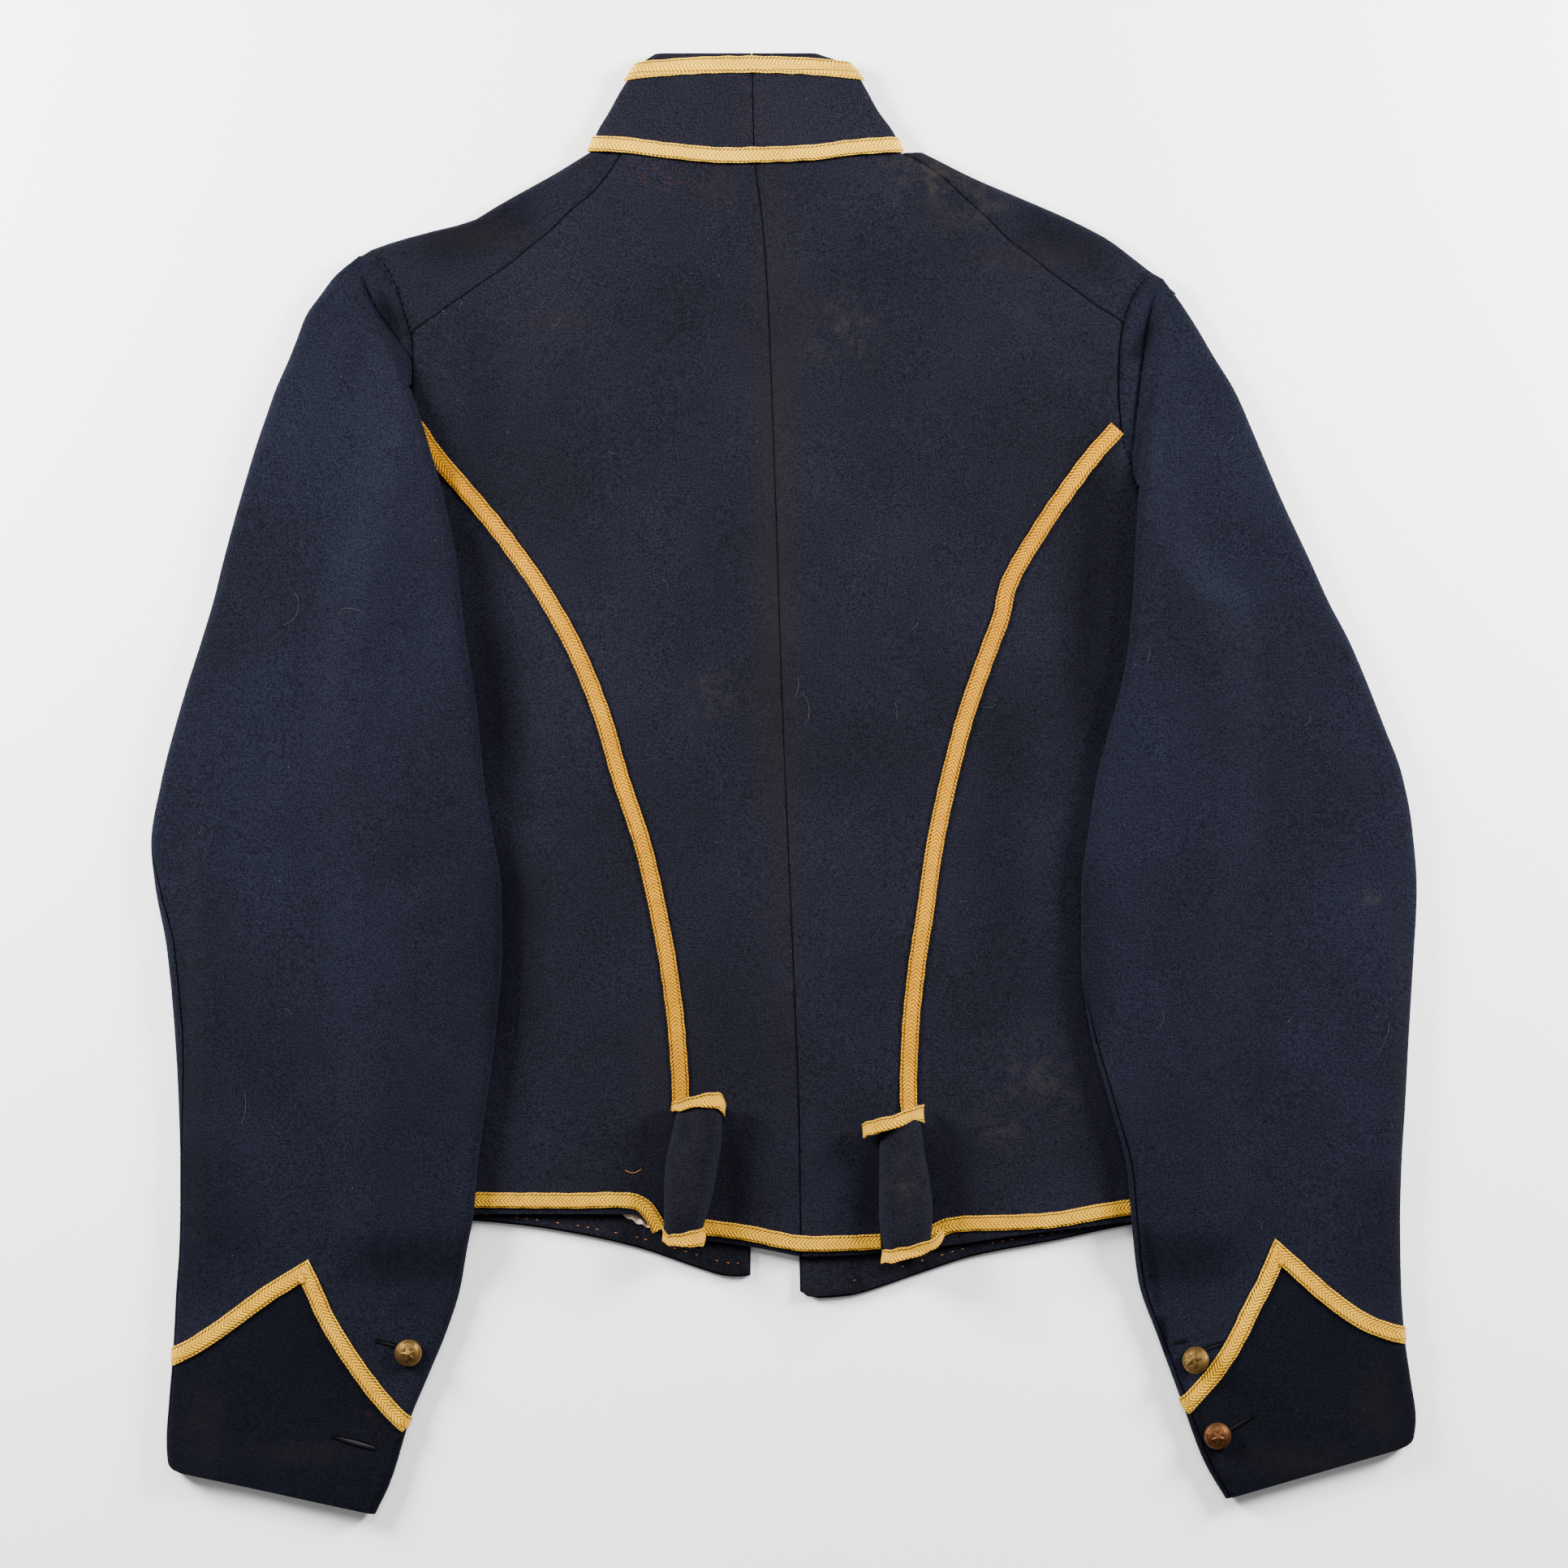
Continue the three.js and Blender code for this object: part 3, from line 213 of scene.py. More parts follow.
RIGHT_SLEEVE = Table("along outer outerY fold foldY seam lip", [
    ((a[1] + a[3]) / 2, *a) for a in [
        (325, -341, 228, -369, -5, -4), (326.5, -328, 217, -350, -5, -4), (323.5, -306, 205, -318, -5, -4),
        (320.5, -284, 193, -285.5, -5, -4), (318.8, -257, 183, -257, -5, -4),
        (318.4, -228, 179, -228, -5, -4),
        (319, -199, 176.5, -199, -5, -4), (321, -165, 167.6, -165, -5, -4), (323, -127, 157.5, -127, -4, -4),
        (325, -94, 153, -94, 0, -4), (327, -55, 153, -55, 4, -4), (324.5, -22, 157, -22, 8, -4),
        (319, 6, 161.5, 6, 12, -4), (310, 30, 168, 30, 20, -4), (301, 53, 174, 53, 28, -4),
        (292, 74, 177.5, 74, 36, -4), (281.5, 94, 179.3, 94, 44, -4), (271.5, 116, 180.5, 116, 8, -4),
        (257, 147, 182.3, 147, 8, -4), (243.5, 179, 186, 179, 8, -4), (233, 203, 189, 203, 8, -4),
        (222, 221, 191.3, 221, 8, -4), (212, 238, 194, 238, 8, -4), (204, 250, 196, 250, 8, -4),
        (196, 260.5, 194, 260.5, 8, -4),
    ]
])
COLLAR = Table("y left right seam", [
    (326, -101, 61, -15.5), (336, -97, 57, -15.7), (348, -90, 48.5, -16), (358, -84.5, 43, -16.2),
    (366, -79, 38, -16.4), (372, -74, 31, -16.5), (377, -67, 18, -16.6),
])
COLLAR_FRONT_X = -20.0
LEFT_ROLL = Table("y left right height", [
    (-237, -61, -42, 12.5), (-231, -62.5, -41.5, 14), (-218, -62.5, -37.5, 15.5), (-200, -62, -34, 16),
    (-182, -58.5, -31.5, 16), (-172, -56.5, -31.5, 15.5), (-165, -55, -32.5, 14),
])
RIGHT_ROLL = Table("y left right height", [
    (-245, 51.5, 74, 12.5), (-239, 50.4, 75.6, 14), (-222, 48.3, 77.3, 15.5), (-205, 48.4, 75.6, 16),
    (-190, 48.6, 72.8, 16), (-180, 49, 71.6, 15.5), (-173, 50, 70.5, 14),
])
# Middle lines of the tapes, seen from above.
LEFT_SEAM_TAPE = [(-191, 186), (-180, 170), (-152, 137), (-127, 103), (-108, 70), (-94, 36), (-84, 2),
                  (-73, -31), (-65, -65), (-59, -98), (-55, -132), (-53.4, -161), (-54, -169)]
RIGHT_SEAM_TAPE = [(172, 183.5), (160, 170), (136, 137), (116, 103), (112, 86), (106, 70), (94, 36),
                   (85, 2), (78, -31), (73, -65), (68, -98), (65, -132), (64.5, -166), (66, -173)]
LEFT_HEM_TAPE = [(-164, -214.6), (-110, -215), (-79, -215), (-72.5, -217.5), (-68, -223), (-64, -230)]
CENTRE_HEM_TAPE = [(-42, -228.5), (-20, -231.5), (8, -236.8), (31, -236.8), (50, -236)]
RIGHT_HEM_TAPE = [(74, -232.5), (80, -230), (86, -227.6), (119, -226), (140, -224.8), (161, -221),
                  (184, -217.5)]
LEFT_CUFF_TAPE = [(-316.8, -296.2), (-303.7, -289.3), (-290.5, -280.6), (-277.3, -270.9), (-264.1, -261.6),
                  (-247.2, -251.2), (-242.2, -261.8), (-237.7, -272), (-231.9, -282.6), (-225.3, -293.2),
                  (-217.9, -303.7), (-210, -314.3), (-202, -323.5), (-194.2, -331.2)]
RIGHT_CUFF_TAPE = [(206, -322.2), (211.5, -315.6), (221.8, -304.1), (229.7, -292.7), (235.9, -281.3),
                   (241.4, -269.9), (247.3, -258.5), (254.8, -241.6), (265.1, -250.5), (276.5, -260.8),
                   (287.9, -269.9), (299.3, -277.2), (310.7, -281.8), (321, -284.6)]


def clamp01(t: Number) -> Number:
    """t kept from 0 to 1."""
    return np.clip(t, 0.0, 1.0)


def smooth(t: Number) -> Number:
    """A soft step from 0 to 1."""
    t = clamp01(t)
    return t * t * (3 - 2 * t)


def mix(a: Number, b: Number, t: Number) -> Number:
    """From a to b as t goes from 0 to 1."""
    return a + (b - a) * t


@dataclass(frozen=True)
class Crease:
    """A soft trough between two points, or a ridge where its depth is below 0."""

    x0: float
    y0: float
    x1: float
    y1: float
    width: float
    depth: float
    ends: float = 0.0

    def height(self, x: np.ndarray, y: np.ndarray) -> np.ndarray:
        """How far it lowers the cloth at each place; it fades towards its ends where ends is above 0.

        Args:
            x: the x of places seen from above.
            y: their y.

        Returns:
            The depth at each.
        """
        dx, dy = self.x1 - self.x0, self.y1 - self.y0
        t = clamp01(((x - self.x0) * dx + (y - self.y0) * dy) / (dx * dx + dy * dy))
        away = np.hypot(x - self.x0 - t * dx, y - self.y0 - t * dy)
        fade = smooth(np.minimum(t, 1 - t) / self.ends) if self.ends else 1.0
        return self.depth * np.exp(-((away / self.width) ** 2)) * fade


# The back's largest creases, which the solids have too.
BACK_CREASES = [Crease(*row) for row in (
    (-158, 137, -133, -14, 14, 1.9), (163, 143, 138, -6, 14, 1.9), (-177, 217, -172, 160, 10, 0.8),
    (123, 254, 156, 217, 11, 0.8), (138, -60, 128, -170, 12, 0.6), (-20, 120, -12, -60, 14, 0.5),
)]


class Waves:
    """A seeded soft unevenness, as cloth has where it isn't pressed."""

    def __init__(self, seed: int, shortest: float, longest: float, count: int = 14) -> None:
        """Draws the waves, between the shortest and the longest length."""
        pick = random.Random(seed)
        self.parts = []
        for _ in range(count):
            length = pick.uniform(shortest, longest)
            turn = pick.uniform(0, math.tau)
            self.parts.append((math.cos(turn) * math.tau / length, math.sin(turn) * math.tau / length,
                               pick.uniform(0, math.tau)))

    def __call__(self, x: Number, y: Number) -> Number:
        """A value of about -1 to 1 at each place."""
        total = sum(np.sin(a * x + b * y + c) for a, b, c in self.parts)
        return total / math.sqrt(len(self.parts))


BROAD = Waves(SEED, 45, 130)
FINE = Waves(SEED + 1, 14, 34)
PUCKER = Waves(SEED + 2, 7, 13)


def face_height(x: Number, y: Number) -> Number:
    """The height of the back's outer face: its creases, and a soft unevenness."""
    low = sum(crease.height(x, y) for crease in BACK_CREASES)
    fine = sum(crease.height(x, y) for crease in SMALL_CREASES)
    return BODY_HEIGHT - low - fine + 0.34 * BROAD(x, y) + 0.06 * FINE(x, y)


# Smaller creases, dents and ridges of the back, each with its own length and depth.
SMALL_CREASES = [Crease(*row) for row in (
    (-150, 236, -176, 196, 6, 0.7, 0.4), (-120, 262, -165, 232, 7, 0.45, 0.4),
    (-60, 270, -128, 214, 12, -0.5, 0.4), (-25, 240, -85, 196, 11, 0.45, 0.4),
    (-168, 175, -128, 158, 8, 0.4, 0.4), (-182, 138, -150, 92, 7, 0.6, 0.35),
    (-178, 70, -158, -30, 9, 0.9, 0.35), (-165, 10, -120, -34, 8, 0.45, 0.4),
    (-196, -60, -172, -150, 9, 0.7, 0.35), (-150, -80, -120, -140, 10, 0.4, 0.4),
    (-108, -90, -72, -150, 9, -0.35, 0.4), (-120, -178, -70, -196, 8, 0.4, 0.4),
    (28, 250, 64, 214, 11, 0.45, 0.4), (58, 276, 112, 238, 9, -0.45, 0.4),
    (112, 214, 162, 176, 8, 0.65, 0.35), (168, 120, 146, 74, 8, 0.6, 0.35),
    (172, 60, 160, -40, 10, 1.0, 0.35), (152, 14, 112, -28, 9, 0.4, 0.4),
    (176, -62, 156, -150, 9, 0.75, 0.35), (122, -96, 92, -150, 10, 0.35, 0.4),
    (168, -160, 120, -190, 9, 0.45, 0.4), (26, -150, 38, -214, 8, 0.3, 0.4),
    (-16, -140, -24, -210, 9, 0.3, 0.4), (-92, -60, -100, -130, 9, 0.3, 0.4),
    (-60, 120, -46, -20, 16, -0.35, 0.4), (44, 90, 36, -40, 16, -0.3, 0.4),
)]


def linear(code: str) -> tuple:
    """An sRGB hex colour such as "#29293a" as the linear colour that a shader takes."""
    parts = [int(code[k:k + 2], 16) / 255 for k in (1, 3, 5)]
    turned = [p / 12.92 if p <= 0.04045 else ((p + 0.055) / 1.055) ** 2.4 for p in parts]
    return (*turned, 1.0)


class Shader:
    """A material whose nodes are all added by one method, each with its settings and links."""

    def __init__(self, name: str) -> None:
        """Starts an empty material."""
        self.material = bpy.data.materials.new(name)
        self.material.use_nodes = True
        self.tree = self.material.node_tree
        self.tree.nodes.clear()

    def add(self, kind: str, *values: object, at: dict | None = None, out: int | str = 0,
            **settings: object) -> bpy.types.NodeSocket | None:
        """Adds a node.

        Args:
            kind: the node's type name without its ShaderNode prefix.
            values: what goes into its first sockets in order, each a constant or another node's output.
            at: what goes into other sockets, by their names or numbers.
            out: the output that is wanted, by its name or number.
            settings: the node's own properties.

        Returns:
            That output, or None where the node has no outputs.
        """
        node = self.tree.nodes.new(f"ShaderNode{kind}")
        for name, value in settings.items():
            setattr(node, name, value)
        for name, value in [*enumerate(values), *(at or {}).items()]:
            if isinstance(value, bpy.types.NodeSocket):
                self.tree.links.new(value, node.inputs[name])
            else:
                node.inputs[name].default_value = value
        return node.outputs[out] if len(node.outputs) else None

    def finish(self, **inputs: object) -> bpy.types.Material:
        """Links the surface to the output.

        Args:
            inputs: the surface's sockets, their names written with _ for spaces.

        Returns:
            The material.
        """
        named = {name.replace("_", " "): value for name, value in inputs.items()}
        self.add("OutputMaterial", self.add("BsdfPrincipled", at=named))
        return self.material


# What the nodes that are used most are set to. A Mix node's colours are its sockets 6 and 7.
PLUS, LESS, TIMES = ({"operation": name} for name in ("ADD", "SUBTRACT", "MULTIPLY"))
SINE, WITHOUT_SIGN = ({"operation": name} for name in ("SINE", "ABSOLUTE"))
SOFT = {"interpolation_type": "SMOOTHSTEP"}
TINT = {"data_type": "RGBA", "out": 2}
TINT_TIMES = {**TINT, "blend_type": "MULTIPLY"}

# Pitches of the patterns in metres. Broadcloth has a thread about every 0.4 mm and the tape a twill line
# about every millimetre: both are drawn coarser, as much as they need to show in the render.
THREAD_PITCHES = (0.00062, 0.00074)
TWILL_PITCH = 0.002
PICK_PITCH = 0.0007
LOOP_PITCH = 0.0014
EDGE_STITCH_PITCH = 0.0021
EDGE_STITCH_INSET = 0.00125
# A wave node at a scale of 1 has a band every 0.314 units.
WAVE_SCALE = 0.314
# A distance from a seam, in mm, that counts as none.
FAR = 20.0


@dataclass(frozen=True)
class Wool:
    """Felted wool broadcloth: a dense nap hides most of its fine weave and scatters light at its edges."""

    name: str
    colour: str
    shade: str
    faded: str
    weave: float = 0.16
    dust: float = 0.5

    def build(self) -> bpy.types.Material:
        """The nap's mottle, a faint weave, pressed seams, worn and dusty places from the marks, and painted
        shade from the marks' alpha.

        Returns:
            The material.
        """
        s = Shader(self.name)
        place = s.add("TexCoord", out="Object")
        cloth = s.add("UVMap")
        # The marks' alpha holds painted shade and the cuffs' darker points; their colour holds the worn,
        # dusty and rusty amounts.
        marks = s.add("Attribute", attribute_name="wear").node.outputs
        worn, dusty, rusty = s.add("SeparateColor", marks["Color"]).node.outputs
        broad = s.add("TexNoise", place, 0, 9, 3, 0.55)
        mottle = s.add("TexNoise", place, 0, 160, 4, 0.65)
        nap = s.add("TexNoise", place, 0, 1050, 3, 0.85)
        combed = s.add("Mapping", cloth, at={"Scale": (2400, 620, 1)})
        hair = s.add("TexNoise", combed, 0, 1, 2, 0.6)
        threads = [s.add("TexWave", cloth, WAVE_SCALE / pitch, 1.2, 1.0, 2.0, out="Fac",
                         bands_direction=way, wave_profile="SIN")
                   for way, pitch in zip("XY", THREAD_PITCHES)]
        weave = s.add("Math", *threads, **TIMES)
        # The grain's light and dark, from the nap above all, times the marks' alpha with its painted shade,
        # darkened along the seams.
        grain = s.add("Math", s.add("Math", nap, 0.5, **LESS), 3.8, **TIMES)
        for pattern, middle, share in ((mottle, 0.5, 0.22), (weave, 0.3, self.weave)):
            part = s.add("Math", s.add("Math", pattern, middle, **LESS), share, **TIMES)
            grain = s.add("Math", grain, part, **PLUS)
        light = s.add("Math", s.add("MapRange", grain, -0.8, 0.8, 0.2, 2.1, **SOFT), marks["Alpha"], **TIMES)
        ragged = s.add("Math", s.add("TexNoise", place, 0, 300, 2, 0.5), 0.5, **TIMES)
        sewn = s.add("Math", s.add("Attribute", attribute_name="seam", out="Fac"), ragged, **LESS)
        light = s.add("Math", light, s.add("MapRange", sewn, FAR - 1.0, FAR - 0.3, 1.0, 0.3, **SOFT), **TIMES)
        tone = s.add("Mix", s.add("MapRange", broad, 0.3, 0.7, **SOFT),
                     at={6: linear(self.shade), 7: linear(self.colour)}, **TINT)
        tone = s.add("Mix", 1.0, at={6: tone, 7: s.add("CombineColor", light, light, light)}, **TINT_TIMES)
        # Each kind of mark: its amount, the noise that breaks it up, its greatest strength and its colour.
        for amount, noise, limits, most, colour in (
                (worn, (60, 5, 0.7), (0.25, 0.75, 0.35, 1.0), 1.0, self.faded),
                (dusty, (110, 6, 0.75), (0.42, 0.72), 0.42, "#3a352e"),
                (rusty, (260, 4, 0.7), (0.5, 0.66), 0.5, "#3c2214")):
            broken = s.add("MapRange", s.add("TexNoise", place, 0, *noise), *limits, **SOFT)
            amount = s.add("Math", s.add("Math", amount, broken, **TIMES), most, **TIMES)
            tone = s.add("Mix", amount, at={6: tone, 7: linear(colour)}, **TINT)
        # Small specks of lint, in some places only.
        specks = s.add("TexVoronoi", at={"Vector": place, "Scale": 95.0, "Randomness": 1.0}, out="Distance")
        lint = s.add("Math", s.add("MapRange", specks, 0.018, 0.045, 1.0, 0.0, **SOFT),
                     s.add("MapRange", s.add("TexNoise", place, 0, 37, 1, 0.5), 0.55, 0.62, **SOFT), **TIMES)
        lint = s.add("Math", lint, self.dust, **TIMES)
        tone = s.add("Mix", lint, at={6: tone, 7: linear("#4c4b4e")}, **TINT)
        fibre = s.add("Math", s.add("Math", nap, 0.6, **TIMES), s.add("Math", hair, 0.4, **TIMES), **PLUS)
        soft = s.add("Bump", at={"Height": fibre, "Distance": 0.00035, "Strength": 0.5})
        lumps = s.add("Math", weave, s.add("Math", mottle, 1.6, **TIMES), **PLUS)
        rough = s.add("Bump", at={"Height": lumps, "Distance": 0.00025, "Strength": 0.55, "Normal": soft})
        return s.finish(Base_Color=tone, Roughness=s.add("MapRange", nap, 0.3, 0.7, 0.86, 0.98, **SOFT),
                        Normal=rough, Sheen_Weight=0.02, Sheen_Roughness=0.5, Sheen_Tint=linear("#a3a9c8"),
                        Specular_IOR_Level=0.03)


@dataclass(frozen=True)
class Tape:
    """Worsted herringbone tape: two slants of twill meet in its middle, and its looped edges are stitched."""

    name: str
    colour: str
    shade: str
    soil: str

    def build(self) -> bpy.types.Material:
        """The herringbone as bump and tone, small edge loops, and soiled stretches along it.

        Returns:
            The material.
        """
        s = Shader(self.name)
        half = TAPE_WIDTH / 2 * MM
        place = s.add("TexCoord", out="Object")
        across, along, _ = s.add("SeparateXYZ", s.add("UVMap")).node.outputs
        # Two slants of twill, a little uneven, with the weft's picks between them.
        fold = s.add("Math", across, half, operation="PINGPONG")
        slant = s.add("Math", along, s.add("Math", fold, 0.95, **TIMES), **PLUS)
        uneven = s.add("Math", s.add("TexNoise", place, 0, 240, 2, 0.5), 0.0005, **TIMES)
        slant = s.add("Math", slant, uneven, **PLUS)
        waves = [s.add("Math", s.add("Math", way, math.tau / pitch, **TIMES), **SINE) for way, pitch in (
            (slant, TWILL_PITCH), (across, PICK_PITCH), (along, LOOP_PITCH), (along, EDGE_STITCH_PITCH))]
        twill, pick, looped, stitched = waves
        # How far a place is from the nearer edge, and what shows there: loops, and a sunk row of stitches.
        off_middle = s.add("Math", s.add("Math", across, half, **LESS), **WITHOUT_SIGN)
        edge = s.add("Math", half, off_middle, **LESS)
        loops = s.add("Math", s.add("MapRange", edge, 0.0002, 0.0009, 0.5, 0.0, **SOFT), looped, **TIMES)
        off_row = s.add("Math", s.add("Math", edge, EDGE_STITCH_INSET, **LESS), **WITHOUT_SIGN)
        sewn = s.add("Math", s.add("MapRange", off_row, 0.00012, 0.0004, 1.0, 0.0, **SOFT),
                     s.add("MapRange", stitched, -0.9, 0.1, 0.35, 1.0, **SOFT), **TIMES)
        nap = s.add("TexNoise", place, 0, 1700, 3, 0.7)
        broad = s.add("TexNoise", place, 0, 34, 4, 0.6)
        worn = s.add("SeparateColor", s.add("Attribute", attribute_name="wear", out="Color"))
        tone = s.add("Mix", s.add("MapRange", broad, 0.32, 0.68, **SOFT),
                     at={6: linear(self.shade), 7: linear(self.colour)}, **TINT)
        woven = s.add("Math", twill, s.add("Math", pick, 0.35, **TIMES), **PLUS)
        dark = s.add("Math", s.add("MapRange", woven, -1.0, 0.3, 1.0, 0.0, **SOFT), 0.85, **TIMES)
        stains = s.add("MapRange", s.add("TexNoise", place, 0, 85, 5, 0.75), 0.58, 0.8, 0.0, 0.55, **SOFT)
        dirt = s.add("Math", s.add("Math", worn, 0.8, **TIMES), stains, **PLUS)
        for amount, colour in ((dark, self.soil), (s.add("Math", sewn, 0.75, **TIMES), "#3c2408"),
                               (dirt, self.soil)):
            tone = s.add("Mix", amount, at={6: tone, 7: linear(colour)}, **TINT)
        light = s.add("MapRange", nap, 0.3, 0.7, 0.84, 1.14, **SOFT)
        tone = s.add("Mix", 1.0, at={6: tone, 7: s.add("CombineColor", light, light, light)}, **TINT_TIMES)
        height = loops
        for pattern, share in ((twill, 0.5), (pick, 0.16), (nap, 0.5), (sewn, -1.4)):
            height = s.add("Math", height, s.add("Math", pattern, share, **TIMES), **PLUS)
        relief = s.add("Bump", at={"Height": height, "Distance": 0.00032, "Strength": 0.9})
        return s.finish(Base_Color=tone, Roughness=0.86, Normal=relief, Sheen_Weight=0.02,
                        Sheen_Roughness=0.6, Specular_IOR_Level=0.06)


@dataclass(frozen=True)
class Thread:
    """Twisted sewing thread, uneven from one stitch to the next, with a faint gloss."""

    name: str
    colour: str

    def build(self) -> bpy.types.Material:
        """A small change of tone from one stitch to the next.

        Returns:
            The material.
        """
        s = Shader(self.name)
        place = s.add("TexCoord", out="Object")
        light = s.add("Mix", s.add("TexNoise", place, 0, 420, 2, 0.5),
                      at={6: (0.55, 0.55, 0.55, 1), 7: (1.4, 1.4, 1.4, 1)}, **TINT)
        tone = s.add("Mix", 1.0, at={6: linear(self.colour), 7: light}, **TINT_TIMES)
        ply = s.add("TexNoise", place, 0, 2600, 2, 0.5)
        return s.finish(Base_Color=tone, Roughness=0.8, Specular_IOR_Level=0.06,
                        Normal=s.add("Bump", at={"Height": ply, "Distance": 0.0001, "Strength": 0.6}))


@dataclass(frozen=True)
class Brass:
    """Gilt brass worn to bronze: dark in its hollows, and brighter where the relief was rubbed."""

    name: str
    colour: str
    tarnish: str

    def build(self) -> bpy.types.Material:
        """Tarnish from noise and from how the surface is creviced, and small scratches as bump.

        Returns:
            The material.
        """
        s = Shader(self.name)
        place = s.add("TexCoord", out="Object")
        hollow = s.add("AmbientOcclusion", at={"Distance": 0.0012}, out="AO", samples=8)
        crevice = s.add("MapRange", hollow, 0.35, 0.95, **SOFT)
        blotch = s.add("MapRange", s.add("TexNoise", place, 0, 520, 4, 0.65), 0.35, 0.7, **SOFT)
        rubbed = s.add("Math", 0.45, s.add("Math", blotch, 0.55, **TIMES), **PLUS)
        fresh = s.add("Math", crevice, rubbed, **TIMES)
        tone = s.add("Mix", fresh, at={6: linear(self.tarnish), 7: linear(self.colour)}, **TINT)
        scratches = s.add("TexNoise", place, 0, 3200, 3, 0.5)
        return s.finish(Base_Color=tone, Metallic=0.92,
                        Roughness=s.add("MapRange", fresh, 0.0, 1.0, 0.75, 0.46, **SOFT),
                        Normal=s.add("Bump", at={"Height": scratches, "Distance": 0.00006, "Strength": 0.5}))


@dataclass(frozen=True)
class Plain:
    """A plain matt surface with a faint change of tone."""

    name: str
    colour: str
    other: str
    scale: float = 30.0

    def build(self) -> bpy.types.Material:
        """Two near tones mixed by noise, and a fine bump.

        Returns:
            The material.
        """
        s = Shader(self.name)
        place = s.add("TexCoord", out="Object")
        tone = s.add("Mix", s.add("TexNoise", place, 0, self.scale, 4, 0.5),
                     at={6: linear(self.colour), 7: linear(self.other)}, **TINT)
        grain = s.add("TexNoise", place, 0, 900, 3, 0.5)
        return s.finish(Base_Color=tone, Roughness=0.9,
                        Normal=s.add("Bump", at={"Height": grain, "Distance": 0.0001, "Strength": 0.5}))


class Finish(Enum):
    """The jacket's finishes."""

    NAVY = Wool("wool broadcloth, body", "#12121a", "#0e0e14", "#1b1715")
    SLEEVE = Wool("wool broadcloth, sleeves", "#10111a", "#0d0e15", "#1b1818")
    COLLAR = Wool("wool broadcloth, collar", "#14141c", "#101016", "#1e1a18")
    FACING = Wool("wool broadcloth, inside facing", "#131319", "#0f0f14", "#1a1512")
    TAPE = Tape("worsted tape, faded", "#d6a01e", "#c69016", "#6a4608")
    SEAM_TAPE = Tape("worsted tape, deep yellow", "#c48600", "#b07400", "#5c3c00")
    COLLAR_TAPE = Tape("worsted tape, palest", "#f0ba30", "#dcaa24", "#74500e")
    LINING = Plain("cotton lining", "#c9b3a0", "#a8907b", 60.0)
    TAN_THREAD = Thread("linen thread, tan", "#a5693a")
    DARK_THREAD = Thread("silk twist, black", "#060609")
    EDGE_THREAD = Thread("cotton thread, dark brown", "#2c1c0c")
    PALE_HAIR = Thread("loose hair, pale", "#403e3b")
    BRASS = Brass("gilt brass, worn", "#6c5128", "#1a1208")
    COPPER = Brass("gilt brass, worn to copper", "#5c391e", "#160c06")
    SLIT = Plain("shadowed slit", "#0b0c12", "#101118")
    FLOOR = Plain("pale paper floor", "#fcfcfc", "#f9f9f9", 3.0)


class Finishes:
    """Builds each finish once, when it is first asked for."""

    def __init__(self) -> None:
        """Starts with none built."""
        self.made: dict = {}

    def get(self, finish: Finish) -> bpy.types.Material:
        """The material of a finish."""
        if finish not in self.made:
            self.made[finish] = finish.value.build()
        return self.made[finish]


FINISHES = Finishes()


@dataclass(frozen=True)
class Mark:
    """A worn, dusty or rusty place on the cloth, an ellipse seen from above."""

    x: float
    y: float
    wide: float
    tall: float
    kind: int
    strength: float


WORN, DUSTY, RUSTY = 0, 1, 2
MARKS = [Mark(*row) for row in (
    (-4, 130, 11, 190, WORN, 0.55), (-3, 235, 16, 60, WORN, 0.35), (3, -60, 9, 80, WORN, 0.2),
    (79, 313, 24, 14, DUSTY, 1.0), (96, 302, 22, 14, DUSTY, 0.8), (30, 235, 18, 16, DUSTY, 0.6),
    (-36, 48, 16, 12, DUSTY, 0.5), (134, -150, 26, 18, DUSTY, 0.6), (108, -176, 14, 10, DUSTY, 0.6),
    (-64, 320, 20, 12, RUSTY, 0.45), (-56, 308, 14, 10, RUSTY, 0.4), (-32, 308, 8, 10, WORN, 0.5),
    (-60, -150, 14, 60, WORN, 0.18), (64, -205, 7, 12, DUSTY, 0.6), (304, -58, 4, 4, DUSTY, 1.0),
    (-154, 282, 26, 8, WORN, 0.4), (128, 272, 30, 8, WORN, 0.4), (-120, 240, 26, 9, WORN, 0.25),
    (-110, 320, 10, 6, WORN, 0.5), (-305, -150, 4, 120, WORN, 0.35), (318, -160, 4, 120, WORN, 0.35),
    (-300, -330, 14, 26, WORN, 0.25), (306, -322, 14, 26, WORN, 0.25), (-20, 345, 6, 14, RUSTY, 0.5),
    (-208, -318, 12, 16, RUSTY, 0.4), (-250, -345, 30, 8, WORN, 0.3), (262, -348, 34, 8, WORN, 0.3),
)]
